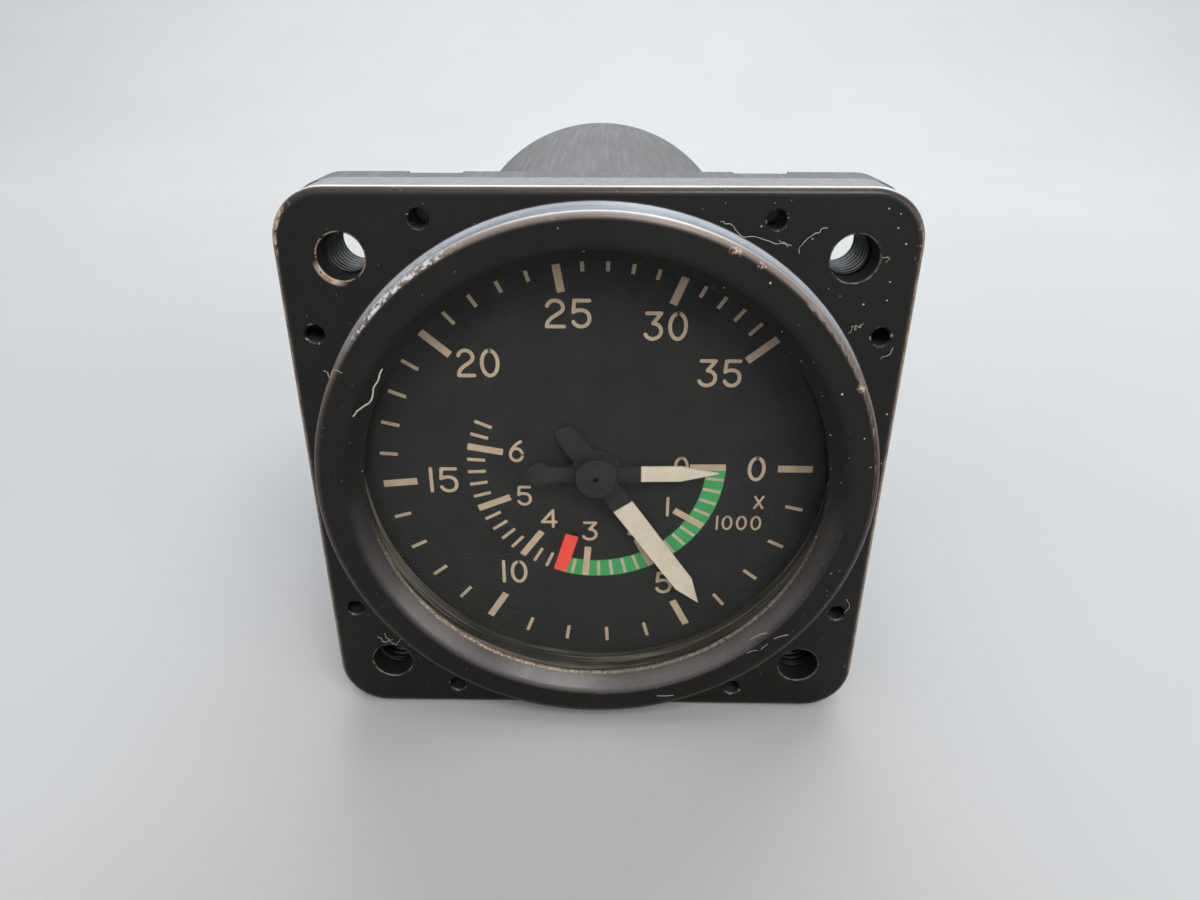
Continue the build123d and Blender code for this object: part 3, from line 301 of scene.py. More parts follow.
    # Round the rubbed edges the paint is thin and brownish, and this tint also stands as a painted soft edge
    # highlight; at the upper left it has flaked off pale
    thin_paint_and_highlight = either(tree, both(tree, level(tree, round_edge, 0.8, 0.5, 0.0, 0.24), on_flange),
                  both(tree, level(tree, ring_edge, 0.8, 0.5, 0.0, 0.42), on_ring))
    flaked = chips(tree, both(tree, either(tree, ring_wall, ring_line),
                              spot(-18.5, -2.0, 21.8, 8.0, 0.6)), 0.7, 0.6, 8.0)
    paint = mixed(tree, thin_paint_and_highlight, paint, colour(84, 66, 58))
    skin = mixed(tree, wear_and_edge_highlight, paint, metal)
    # Dust: a thin film on what faces up
    film = both(tree, level(tree, up, 0.3, 0.98), level(tree, cloud, 0.35, 0.7, 0.03, 0.14))
    # Along the ring's outside, its bevel and the flange's edge the film is a pale painted sheen that stands
    # for highlights and sky reflections, but not in holes
    solid = both(tree, level(tree, from_hole, 2.9, 3.1), level(tree, from_tap, 1.3, 1.4))
    rim = both(tree, level(tree, radius, RING_RADIUS - 0.9, RING_RADIUS - 0.6), level(tree, y, -0.01, -0.05))
    bevel = both(tree, level(tree, radius, LIP_RADIUS + 2.6, LIP_RADIUS + 1.7), level(tree, y, 0.0, -0.5),
                 level(tree, radius, LIP_RADIUS + 0.1, LIP_RADIUS + 0.9, 0.3, 1.0))
    edge_zone = both(tree, level(tree, round_edge, 1.0, 0.8), on_flange)
    painted_sheen = either(
        tree,
        both(tree, rim, level(tree, up, 0.1, 0.9, 0.0, 0.9)),
        both(tree, rim, level(tree, y, -2.6, -2.2),
             level(tree, maths(tree, "DIVIDE", z, radius), 0.1, 0.9, 0.0, 0.9)),
        both(tree, either(tree, edge_zone, rim), level(tree, toward, 0.03, 0.12),
             level(tree, toward, 0.62, 0.36), level(tree, up, 0.4, 0.85, 0.0, 0.9)),
        both(tree, on_flange, level(tree, up, 0.5, 0.97, 0.0, 0.18)),
        both(tree, bevel, level(tree, up, 0.0, 0.5, 0.0, 0.3)))
    # From here the film holds both the dust and the painted sheen
    film = either(tree, film, both(tree, painted_sheen, solid, level(tree, cloud, 0.3, 0.7, 0.7, 1.0)))
    # Specks of dust, thickest at the upper right
    dusty = level(tree, far_from(tree, x, z, 24.0, 20.0), 34.0, 8.0, 0.12, 0.85)
    dots = either(tree, specks(tree, 1.9, 0.13, 0.4, 3.1), specks(tree, 1.1, 0.1, 0.45, 8.7))
    dots = both(tree, dots, level(tree, up, 0.3, 0.8, 1.0, 0.0))
    # The film's colour is painted light: bluish on what faces up, a painted sky reflection; nearly white on
    # the rounded edges, a painted highlight; brownish in front of them where that highlight fades
    tone = mixed(tree, level(tree, toward, 0.03, 0.15), colour(182, 190, 202), colour(238, 236, 233))
    tone = mixed(tree, level(tree, toward, 0.28, 0.6), tone, colour(188, 172, 162))
    # A grey painted highlight on the ring's inner bevel, brighter where it faces up
    tone = mixed(tree, bevel, tone, colour(158, 149, 145))
    # A bluish white painted reflection along the top of the ring's outer wall
    tone = mixed(tree, both(tree, rim, level(tree, y, -1.4, -1.0)), tone, colour(204, 211, 221))
    skin = mixed(tree, film, skin, tone)
    skin = mixed(tree, both(tree, dots, dusty), skin, colour(205, 200, 190))
    # Inside the mounting holes the colour is darkened, a painted shade, and the paint is dull
    inner = both(tree, level(tree, from_hole, 2.6, 2.5), level(tree, y, 0.1, 0.2))
    skin = mixed(tree, inner, skin, colour(9, 9, 8))
    skin = mixed(tree, flaked, skin, colour(222, 220, 218))
    feed(tree, shader.inputs["Base Color"], skin)
    gloss = level(tree, noise(tree, 1.6, 4, 0.6, shift=(1.7, 1, 2)), 0.3, 0.7, 0.17, 0.3)
    gloss = maths(tree, "ADD", gloss, maths(tree, "MULTIPLY", either(tree, wear_and_edge_highlight, dots, flaked), 0.25))
    dull = either(tree, inner, level(tree, up, -0.1, -0.5))
    feed(tree, shader.inputs["Roughness"], maths(tree, "ADD", gloss, maths(tree, "MULTIPLY", dull, 0.6)))
    feed(tree, shader.inputs["Metallic"], maths(tree, "MULTIPLY", wear_and_edge_highlight, 0.4))
    shader.inputs["Specular IOR Level"].default_value = 0.27
    grain = noise(tree, 0.4, 2, 0.5, shift=(0, 1.7, 0))
    worn_away = maths(tree, "MULTIPLY", either(tree, wear_and_edge_highlight, flaked), 3.0)
    feed(tree, shader.inputs["Normal"], relief(tree, maths(tree, "SUBTRACT", grain, worn_away), 0.01))
    return made


def bare_metal(name, base, dull, rough, lines=(1, 1, 1), grain=0.25, tarnish=0.5, depth=0.004):
    """Worked metal: fine tool lines, cloudy tarnish and an uneven polish."""
    made, tree, shader = material(name)
    cloud = noise(tree, 5, 4, 0.6)
    fine = noise(tree, grain, 3, 0.6, stretch=lines)
    tint = mixed(tree, level(tree, cloud, 0.35, 0.7, 0.0, tarnish), base, dull)
    tint = mixed(tree, level(tree, fine, 0.35, 0.7, 0.0, 0.25), tint, dull)
    edges = maths(tree, "MULTIPLY", edge_wear(tree, 0.15), 0.5)
    bright = tuple(min(1, v * 1.3) for v in base[:3]) + (1.0,)
    feed(tree, shader.inputs["Base Color"], mixed(tree, edges, tint, bright))
    shader.inputs["Metallic"].default_value = 1.0
    feed(tree, shader.inputs["Roughness"], level(tree, fine, 0.3, 0.7, rough - 0.06, rough + 0.1))
    feed(tree, shader.inputs["Normal"], relief(tree, fine, depth))
    return made


def threaded_steel(name):
    """Dark oiled steel with the ridges of a thread along the bore, and painted shade in its grooves."""
    made, tree, shader = material(name)
    x, y, z, _ = flange_points(tree)
    # Across and up from the nearest hole's own centre
    out_x, out_z = (
        maths(tree, "SUBTRACT", v, maths(tree, "MULTIPLY", maths(tree, "SIGN", v), MOUNT_HALF))
        for v in (x, z))
    turn = maths(tree, "ARCTAN2", out_z, out_x)
    phase = maths(tree, "MULTIPLY", y, 2 * math.pi / THREAD_PITCH)
    ridge = maths(tree, "SINE", maths(tree, "ADD", phase, turn))
    grime = noise(tree, 0.8, 4, 0.65)
    # The colour is darker down in the thread's grooves: painted shade
    tint = mixed(tree, level(tree, ridge, -0.2, 0.9), colour(12, 12, 12), colour(34, 33, 33))
    tint = mixed(tree, level(tree, grime, 0.42, 0.6, 0.0, 0.85), tint, colour(17, 16, 16))
    feed(tree, shader.inputs["Base Color"], tint)
    shader.inputs["Metallic"].default_value = 0.4
    shader.inputs["Specular IOR Level"].default_value = 0.3
    feed(tree, shader.inputs["Roughness"], level(tree, grime, 0.3, 0.7, 0.34, 0.6))
    feed(tree, shader.inputs["Normal"], relief(tree, ridge, 0.06))
    return made


def rubber(name):
    """Black rubber with a greyish bloom."""
    made, tree, shader = material(name)
    bloom = noise(tree, 1.5, 4, 0.6)
    grain = noise(tree, 0.2, 2, 0.5)
    skin = mixed(tree, level(tree, bloom, 0.45, 0.7), colour(30, 30, 30), colour(62, 60, 57))
    feed(tree, shader.inputs["Base Color"], skin)
    feed(tree, shader.inputs["Roughness"], level(tree, bloom, 0.3, 0.7, 0.62, 0.82))
    feed(tree, shader.inputs["Normal"], relief(tree, grain, 0.02))
    return made


def window_glass(name):
    """Clear glass, slightly smeared, that lets the lamps' light through."""
    made, tree, shader = material(name)
    smear = noise(tree, 6, 4, 0.6, stretch=(1, 1, 2.5))
    shader.inputs["Base Color"].default_value = (0.93, 0.95, 0.94, 1)
    shader.inputs["Transmission Weight"].default_value = 1.0
    shader.inputs["IOR"].default_value = 1.46
    shader.inputs["Specular Tint"].default_value = (0.12, 0.12, 0.13, 1)
    feed(tree, shader.inputs["Roughness"], level(tree, smear, 0.4, 0.75, 0.0, 0.05))
    feed(tree, shader.inputs["Normal"], relief(tree, noise(tree, 14, 1, 0.4), 0.004))
    clear = add(tree, "ShaderNodeBsdfTransparent", {"Color": (0.93, 0.95, 0.94, 1)})
    shadow = add(tree, "ShaderNodeLightPath").outputs["Is Shadow Ray"]
    seen = add(tree, "ShaderNodeMixShader", {0: shadow, 1: shader.outputs[0], 2: clear.outputs[0]})
    feed(tree, tree.nodes["Material Output"].inputs["Surface"], seen.outputs[0])
    return made


def matt_paint(name, base, second, size=3.0, rough=0.7, speck=0.0, shine=0.5):
    """Matt paint with a cloudy tone, fine grain and a few pale specks."""
    made, tree, shader = material(name)
    cloud = noise(tree, size, 5, 0.62)
    grain = noise(tree, 0.12, 2, 0.5)
    dark = tuple(v * 0.6 for v in base[:3]) + (1.0,)
    skin = mixed(tree, level(tree, cloud, 0.35, 0.68), base, second)
    skin = mixed(tree, level(tree, grain, 0.35, 0.7, 0.0, 0.18), skin, dark)
    if speck:
        dots = level(tree, noise(tree, 0.5, 3, 0.8, shift=(3, 1, 2)), 0.75, 0.775, 0.0, speck)
        skin = mixed(tree, dots, skin, colour(170, 165, 155))
    feed(tree, shader.inputs["Base Color"], skin)
    feed(tree, shader.inputs["Roughness"], level(tree, grain, 0.3, 0.7, rough - 0.08, rough + 0.1))
    shader.inputs["Specular IOR Level"].default_value = shine
    feed(tree, shader.inputs["Normal"], relief(tree, grain, 0.002))
    return made


def spacer_paint(name):
    """Dull dark paint over fine turned lines that run round the ring."""
    made, tree, shader = material(name)
    lines = noise(tree, 0.5, 3, 0.6, stretch=(0.03, 1, 0.03))
    cloud = noise(tree, 4.0, 4, 0.6)
    skin = mixed(tree, level(tree, cloud, 0.35, 0.7), colour(40, 38, 36), colour(60, 55, 50))
    skin = mixed(tree, level(tree, lines, 0.5, 0.62, 0.0, 0.75), skin, colour(124, 116, 104))
    skin = mixed(tree, level(tree, lines, 0.46, 0.36, 0.0, 0.6), skin, colour(24, 21, 19))
    feed(tree, shader.inputs["Base Color"], skin)
    feed(tree, shader.inputs["Roughness"], level(tree, cloud, 0.3, 0.7, 0.45, 0.62))
    shader.inputs["Specular IOR Level"].default_value = 0.3
    feed(tree, shader.inputs["Normal"], relief(tree, lines, 0.02))
    return made


def pointer_paint(name, turn, root):
    """Cream from root millimetres out to the tip, black over the hub and the tail."""
    made, tree, shader = material(name)
    out = along(tree, (math.cos(turn), 0.0, math.sin(turn)))
    ragged = maths(tree, "MULTIPLY", noise(tree, 0.5, 2), 0.12 * MM)
    cream = level(tree, maths(tree, "ADD", out, ragged), (root - 0.02) * MM, (root + 0.1) * MM)
    stain = noise(tree, 1.8, 5, 0.65)
    grain = noise(tree, 0.15, 2, 0.5)
    light = mixed(tree, level(tree, stain, 0.4, 0.75), colour(200, 183, 166), colour(184, 167, 146))
    dark = mixed(tree, level(tree, stain, 0.4, 0.7), colour(36, 35, 34), colour(43, 42, 41))
    rim = maths(tree, "MULTIPLY", edge_wear(tree, 0.08), 0.35)
    light = mixed(tree, rim, light, colour(150, 140, 120))
    feed(tree, shader.inputs["Base Color"], mixed(tree, cream, dark, light))
    feed(tree, shader.inputs["Roughness"], level(tree, grain, 0.3, 0.7, 0.5, 0.68))
    shader.inputs["Specular IOR Level"].default_value = 0.16
    feed(tree, shader.inputs["Normal"], relief(tree, grain, 0.008))
    return made


def case_paint(name):
    """Dull black paint on the drawn case, streaked along its length and dusty on top."""
    made, tree, shader = material(name)
    streak = noise(tree, 0.7, 4, 0.7, stretch=(1, 0.03, 1))
    cloud = noise(tree, 8, 4, 0.6)
    grain = noise(tree, 0.3, 2, 0.5)
    skin = mixed(tree, level(tree, cloud, 0.35, 0.7), colour(28, 27, 26), colour(36, 35, 34))
    skin = mixed(tree, level(tree, streak, 0.5, 0.75, 0.0, 0.5), skin, colour(74, 73, 72))
    patch = noise(tree, 1.8, 5, 0.65)
    rubbed = maths(tree, "MULTIPLY", edge_wear(tree, 0.3), level(tree, patch, 0.52, 0.66))
    skin = mixed(tree, rubbed, skin, colour(170, 162, 150))
    film = both(tree, level(tree, facing(tree)["Z"], 0.2, 0.95), level(tree, cloud, 0.3, 0.75, 0.03, 0.12))
    skin = mixed(tree, film, skin, colour(128, 127, 125))
    flecks = level(tree, noise(tree, 0.45, 3, 0.8, shift=(5, 0, 1)), 0.73, 0.755, 0.0, 0.3)
    skin = mixed(tree, flecks, skin, colour(188, 185, 180))
    feed(tree, shader.inputs["Base Color"], skin)
    feed(tree, shader.inputs["Roughness"], level(tree, streak, 0.3, 0.7, 0.45, 0.66))
    feed(tree, shader.inputs["Metallic"], maths(tree, "MULTIPLY", rubbed, 0.6))
    feed(tree, shader.inputs["Normal"], relief(tree, maths(tree, "ADD", grain, streak), 0.012))
    return made


def jewel_red(name):
    """Red synthetic bearing stone."""
    made, tree, shader = material(name)
    cloud = noise(tree, 1.0, 3, 0.5)
    stone = mixed(tree, level(tree, cloud, 0.35, 0.7), colour(150, 18, 40), colour(190, 40, 66))
    feed(tree, shader.inputs["Base Color"], stone)
    shader.inputs["Transmission Weight"].default_value = 0.35
    shader.inputs["IOR"].default_value = 1.76
    feed(tree, shader.inputs["Roughness"], level(tree, cloud, 0.3, 0.7, 0.04, 0.14))
    feed(tree, shader.inputs["Normal"], relief(tree, cloud, 0.003))
    return made


def mesh_screen(name):
    """A fine woven vent screen, with painted shade in the gaps between its wires."""
    made, tree, shader = material(name)
    wires = []
    for way in ((1, 0, 0), (0, 0, 1)):
        run = along(tree, way)
        wires.append(maths(tree, "SINE", maths(tree, "MULTIPLY", run, 2 * math.pi / (SCREEN_PITCH * MM))))
    weave = maths(tree, "MAXIMUM", wires[0], wires[1])
    wire = level(tree, weave, -0.1, 0.5)
    # Bright metal on the wires; the gaps between them are painted dark as shade
    feed(tree, shader.inputs["Base Color"], mixed(tree, wire, colour(28, 28, 27), colour(150, 149, 146)))
    feed(tree, shader.inputs["Metallic"], wire)
    feed(tree, shader.inputs["Roughness"], level(tree, noise(tree, 1.0), 0.3, 0.7, 0.3, 0.5))
    feed(tree, shader.inputs["Normal"], relief(tree, weave, 0.05))
    return made


dress(bezel_paint("bezel_paint"), "bezel")
dress(case_paint("case_paint"), "case")
dress(rubber("gasket_rubber"), "front_gasket", "rear_gasket", "case_seal")
dress(window_glass("window_glass"), "window_glass")
dress(spacer_paint("spacer_paint"), "spacer_ring")
dress(matt_paint("dial_paint", colour(33, 32, 31), colour(41, 40, 38), 4.0, 0.72, 0.12, 0.16), "dial_plate")
dress(bare_metal("blackened_steel", colour(70, 68, 65), colour(40, 38, 36), 0.34, (1, 0.2, 1), 0.3),
      "case_screws")
dress(threaded_steel("threaded_steel"), "mount_inserts")
dress(bare_metal("plain_steel", colour(196, 196, 194), colour(140, 138, 134), 0.26, (1, 0.1, 1), 0.2),
      "frame_screws", "movement_screws", "altitude_pinion", "diff_pinion",
      "altitude_shaft", "diff_shaft", "altitude_link", "diff_link")
dress(bare_metal("plate_brass", colour(214, 178, 104), colour(160, 122, 66), 0.3, (0.06, 1, 1), 0.22),
      "front_plate", "middle_plate", "centre_plate", "rear_plate", "altitude_sector", "diff_sector")
dress(bare_metal("turned_brass", colour(210, 172, 98), colour(150, 116, 60), 0.24, (1, 1, 1), 0.18, 0.35),
      "front_pillars", "top_pillar", "middle_pillars", "rear_pillars", "tube_bush", "hairspring_studs",
      "altitude_post", "diff_post", "capsule_nuts")
dress(bare_metal("rail_aluminium", colour(200, 201, 203), colour(160, 160, 160), 0.34, (1, 0.05, 1), 0.25),
      "capsule_rail")
dress(jewel_red("bearing_jewel"), "shaft_jewels", "arbor_jewel")
dress(bare_metal("spring_bronze", colour(206, 160, 104), colour(150, 104, 62), 0.25, (1, 1, 1), 0.15, 0.4,
                 0.002),
      "altitude_hairspring", "diff_hairspring")
dress(bare_metal("capsule_copper", colour(220, 164, 116), colour(150, 98, 66), 0.22, (1, 1, 0.2), 0.3, 0.6),
      "altitude_capsule", "diff_capsule")
dress(bare_metal("port_brass", colour(196, 166, 100), colour(116, 92, 54), 0.36, (1, 0.3, 1), 0.3, 0.8,
                 0.006),
      "static_fitting", "vent_fitting")
dress(bare_metal("tube_copper", colour(206, 138, 98), colour(122, 76, 54), 0.3, (1, 0.2, 1), 0.3, 0.7),
      "static_tube")
dress(mesh_screen("vent_mesh"), "vent_screen")
# Where each pointer stands at rest, in degrees from three o'clock
ALTITUDE_REST = -54.76
DIFF_REST = 1.0
dress(pointer_paint("altitude_pointer_paint", math.radians(ALTITUDE_REST), 5.15), "altitude_pointer")
dress(pointer_paint("diff_pointer_paint", math.radians(DIFF_REST), 4.9), "diff_pointer")


# Printing on the dial

dial_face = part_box("dial_plate")[0].y
# The print's back lies a hair inside the dial, and crossing strokes differ a hair in height
PRINT_SUNK = 0.012 * MM
LIFT = 0.002 * MM


class Print:
    """Flat strokes of one colour, each a closed sliver that stands a hair off the dial."""

    def __init__(self, proud):
        self.proud = proud * MM
        self.points = []
        self.faces = []
        self.count = 0

    def sliver(self, left, right):
        """A closed sliver between two sides of equally many points."""
        top = dial_face - self.proud - LIFT * (self.count % 5)
        self.count += 1
        base = dial_face + PRINT_SUNK
        first = len(self.points)
        many = len(left)
        for side in (left, right):
            for x, z in side:
                self.points.append((x * MM, top, z * MM))
                self.points.append((x * MM, base, z * MM))

        def front(side, i):
            return first + 2 * (side * many + i)

        def back(side, i):
            return front(side, i) + 1

        for i in range(many - 1):
            self.faces.append((front(0, i), front(0, i + 1), front(1, i + 1), front(1, i)))
            self.faces.append((back(0, i), back(1, i), back(1, i + 1), back(0, i + 1)))
            self.faces.append((front(0, i), back(0, i), back(0, i + 1), front(0, i + 1)))
            self.faces.append((front(1, i), front(1, i + 1), back(1, i + 1), back(1, i)))
        for i in (0, many - 1):
            ends = (front(0, i), front(1, i), back(1, i), back(0, i))
            self.faces.append(ends if i == 0 else ends[::-1])

    def stroke(self, path, width, round_ends=True):
        """A line of even width along a smooth path of points."""
        half = width / 2
        left, right = [], []
        many = len(path)
        for i, (x, z) in enumerate(path):
            before = path[max(i - 1, 0)]
            after = path[min(i + 1, many - 1)]
            dx, dz = after[0] - before[0], after[1] - before[1]
            length = math.hypot(dx, dz)
            dx, dz = dx / length, dz / length
            if round_ends and i == 0:
                for turn in (80, 50, 25):
                    c, s = math.cos(math.radians(turn)) * half, math.sin(math.radians(turn)) * half
                    left.append((x - dx * s - dz * c, z - dz * s + dx * c))
                    right.append((x - dx * s + dz * c, z - dz * s - dx * c))
            left.append((x - dz * half, z + dx * half))
            right.append((x + dz * half, z - dx * half))
            if round_ends and i == many - 1:
                for turn in (25, 50, 80):
                    c, s = math.cos(math.radians(turn)) * half, math.sin(math.radians(turn)) * half
                    left.append((x + dx * s - dz * c, z + dz * s + dx * c))
                    right.append((x + dx * s + dz * c, z + dz * s - dx * c))
        self.sliver(left, right)

    def piece(self, name, finish, slot):
        """All the strokes as one piece that rides on the housing."""
        mesh = bpy.data.meshes.new(name)
        mesh.from_pydata(self.points, [], self.faces)
        mesh.materials.append(finish)
        made = bpy.data.objects.new(name, mesh)
        bpy.context.scene.collection.objects.link(made)
        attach(made, "housing")


def arc(cx, cz, rx, rz, start, end, steps=14):
    """Points on an ellipse, from start to end degrees."""
    return [(cx + rx * math.cos(math.radians(start + (end - start) * i / steps)),
             cz + rz * math.sin(math.radians(start + (end - start) * i / steps)))
            for i in range(steps + 1)]


def curve(a, b, c, d, steps=10):
    """Points on a cubic curve from a to d."""
    made = []
    for i in range(steps + 1):
        t = i / steps
        made.append(tuple(a[k] * (1 - t) ** 3 + 3 * b[k] * t * (1 - t) ** 2
                          + 3 * c[k] * t * t * (1 - t) + d[k] * t ** 3 for k in (0, 1)))
    return made


# Single-stroke characters in a cell one wide and one high
GLYPHS = {
    "0": [arc(0.5, 0.5, 0.5, 0.5, 90, 450, 28)],
    "1": [[(0.5, 0), (0.5, 1)]],
    "2": [arc(0.5, 0.72, 0.46, 0.28, 165, 0)
          + curve((0.96, 0.72), (0.96, 0.46), (0.05, 0.42), (0.02, 0.02))[1:],
          [(0.02, 0), (1, 0)]],
    "3": [[(0.06, 1), (0.95, 1)], [(0.95, 1), (0.46, 0.61)],
          [(0.46, 0.61)] + arc(0.46, 0.305, 0.52, 0.305, 85, -155)],
    "4": [[(0.78, 1), (0.78, 0)], [(0.78, 1), (0.0, 0.29)], [(0.0, 0.29), (1.0, 0.29)]],
    "5": [[(0.96, 1), (0.12, 1)], [(0.12, 1), (0.06, 0.56)],
          curve((0.06, 0.56), (0.3, 0.68), (1.0, 0.7), (0.98, 0.31), 8)
          + arc(0.5, 0.31, 0.48, 0.31, 0, -155)[1:]],
    "6": [arc(0.5, 0.32, 0.48, 0.32, 0, 360, 22), curve((0.86, 1), (0.5, 0.9), (0.02, 0.6), (0.02, 0.32), 8)],
    "X": [[(0, 0), (1, 1)], [(0, 1), (1, 0)]],
}
THIN = "1"


def letter(sheet, mark, left, right, top, bottom, line):
    """One character whose ink fills the box."""
    half = line / 2
    x0, x1, z0, z1 = left + half, right - half, bottom + half, top - half
    for path in GLYPHS[mark]:
        sheet.stroke([(x0 + (x1 - x0) * u, z0 + (z1 - z0) * v) for u, v in path], line)


def word(sheet, text, left, right, top, bottom, line, gap):
    """Characters of equal width between left and right; 1 is as wide as its stroke."""
    wide = sum(mark not in THIN for mark in text)
    room = right - left - gap * (len(text) - 1) - line * (len(text) - wide)
    x = left
    for mark in text:
        width = line if mark in THIN else room / wide
        letter(sheet, mark, x, x + width, top, bottom, line)
        x += width + gap


def tick(sheet, turn, inner, outer, width):
    """A radial line, turn degrees clockwise from three o'clock."""
    c, s = math.cos(math.radians(turn)), -math.sin(math.radians(turn))
    sheet.stroke([(inner * c, inner * s), (outer * c, outer * s)], width, False)


tan_marks, green_marks, red_marks = Print(0.022), Print(0.01), Print(0.016)

# Ticks: where they start and end from the centre, and their width
ALTITUDE_MAJOR = (19.8, 23.55, 0.8)
ALTITUDE_MINOR = (21.6, 23.55, 0.38)
PSI_MAJOR = (10.24, 14.1, 0.75)
PSI_MINOR = (12.1, 14.05, 0.35)
LIMIT_LINE = (9.1, 14.05, 1.5)

# Altitude scale, thousands of feet
ALTITUDE_TURNS = (0.0, 62.6, 122.1, 174.6, 220.5, 259.7, 292.6, 321.2)
MINORS = 5
for index, turn in enumerate(ALTITUDE_TURNS):
    tick(tan_marks, turn, *ALTITUDE_MAJOR)
    if index + 1 < len(ALTITUDE_TURNS):
        step = (ALTITUDE_TURNS[index + 1] - turn) / MINORS
        for minor in range(1, MINORS):
            tick(tan_marks, turn + step * minor, *ALTITUDE_MINOR)
NUMERAL_LINE = 0.38
NUMERAL_GAP = 0.46
GAP_BY_ONE = 0.6
for text, x0, x1, z1, z0 in (
        ("25", -5.24, -0.48, 18.82, 15.75), ("30", 4.76, 9.19, 17.55, 14.5),
        ("35", 10.49, 15.02, 12.55, 9.48), ("20", -14.48, -9.98, 13.55, 10.42),
        ("15", -18.34, -15.14, -0.12, -3.25), ("10", -10.84, -7.91, -12.12, -15.25),
        ("5", 6.92, 8.96, -13.52, -16.52), ("0", 16.52, 18.46, 1.48, -1.52)):
    word(tan_marks, text, x0, x1, z1, z0, NUMERAL_LINE, GAP_BY_ONE if "1" in text else NUMERAL_GAP)

# The scale's multiplier
SIGN_LINE = 0.24
SIGN_GAP = 0.4
for text, x0, x1, z1, z0 in (("X", 17.52, 18.66, -3.35, -5.02), ("1000", 13.52, 18.59, -5.92, -7.78)):
    word(tan_marks, text, x0, x1, z1, z0, SIGN_LINE, SIGN_GAP)

# Differential scale, pounds per square inch
PSI_TURN = 31.75
PSI_START = -0.5
PSI_LAST = 6.4
PSI_STEP = 0.2
LIMIT_TURN = 107.0
LIMIT_CLEAR = 4
for index in range(round(PSI_LAST / PSI_STEP) + 1):
    turn = PSI_TURN * PSI_STEP * index + PSI_START
    if index % 5 == 0:
        tick(tan_marks, turn, *PSI_MAJOR)
    elif abs(turn - LIMIT_TURN) > LIMIT_CLEAR:
        tick(tan_marks, turn, *PSI_MINOR)
SMALL_LINE = 0.32
for text, x0, x1, z1, z0 in (
        ("0", 8.49, 10.09, 1.38, -0.95), ("1", 7.86, 8.18, -3.62, -6.08),
        ("2", 3.59, 5.26, -6.2, -8.6), ("3", -1.51, 0.26, -6.85, -9.35),
        ("4", -6.18, -4.28, -5.28, -7.72), ("5", -8.81, -7.08, -2.35, -4.85),
        ("6", -9.48, -7.78, 3.2, 0.58)):
    letter(tan_marks, text, x0, x1, z1, z0, SMALL_LINE)

# Normal band and limit line, under the tan marks
BAND_RADIUS = 13.08
BAND_WIDTH = 2.15
BAND_END = 106.4
green_marks.stroke(arc(0, 0, BAND_RADIUS, BAND_RADIUS, 0, -BAND_END, 60), BAND_WIDTH, False)
tick(red_marks, LIMIT_TURN, *LIMIT_LINE)

for sheet, name, slot, paint in (
        (tan_marks, "dial_scale_marks", "pointer_cream",
         ("print_tan", colour(185, 160, 133), colour(168, 143, 117), 1.5, 0.7)),
        (green_marks, "dial_green_band", "dial_charcoal",
         ("print_green", colour(52, 148, 84), colour(46, 134, 76), 1.5, 0.6)),
        (red_marks, "dial_red_line", "dial_charcoal",
         ("print_red", colour(236, 74, 58), colour(220, 60, 48), 1.5, 0.6))):
    sheet.piece(name, matt_paint(*paint), slot)


# Lint that has settled on the front

def fibre(name, path, radius, tint):
    """A stray thread: a closed tube along a smooth path in millimetres."""
    line = bpy.data.curves.new(name + "_path", "CURVE")
    line.dimensions = "3D"
    spline = line.splines.new("NURBS")
    spline.points.add(len(path) - 1)
    for point, (x, y, z) in zip(spline.points, path):
        point.co = (x * MM, y * MM, z * MM, 1.0)
    spline.order_u = 3
    spline.use_endpoint_u = True
    line.resolution_u = 6
    line.bevel_depth = radius * MM
    line.bevel_resolution = 1
    line.use_fill_caps = True
    holder = bpy.data.objects.new(name + "_path", line)
    bpy.context.scene.collection.objects.link(holder)
    mesh = bpy.data.meshes.new_from_object(holder.evaluated_get(bpy.context.evaluated_depsgraph_get()))
    bpy.data.objects.remove(holder)
    mesh.name = name
    mesh.materials.clear()
    mesh.materials.append(tint)
    made = bpy.data.objects.new(name, mesh)
    bpy.context.scene.collection.objects.link(made)
    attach(made, "housing")


def wandering(path, wobble, parts=4):
    """The path with points added between its own, each set aside a little at random."""
    made = [path[0]]
    for start, end in zip(path, path[1:]):
        for i in range(1, parts + 1):
            t = i / parts
            aside = 0.0 if i == parts else wobble
            made.append((start[0] + (end[0] - start[0]) * t + rng.uniform(-aside, aside),
                         start[1] + (end[1] - start[1]) * t,
                         start[2] + (end[2] - start[2]) * t + rng.uniform(-aside, aside)))
    return made


lint = matt_paint("lint_fluff", colour(204, 196, 182), colour(160, 150, 134), 0.6, 0.8)
RING_TOP = -RING_HEIGHT - 0.03
FLANGE_TOP = -0.03
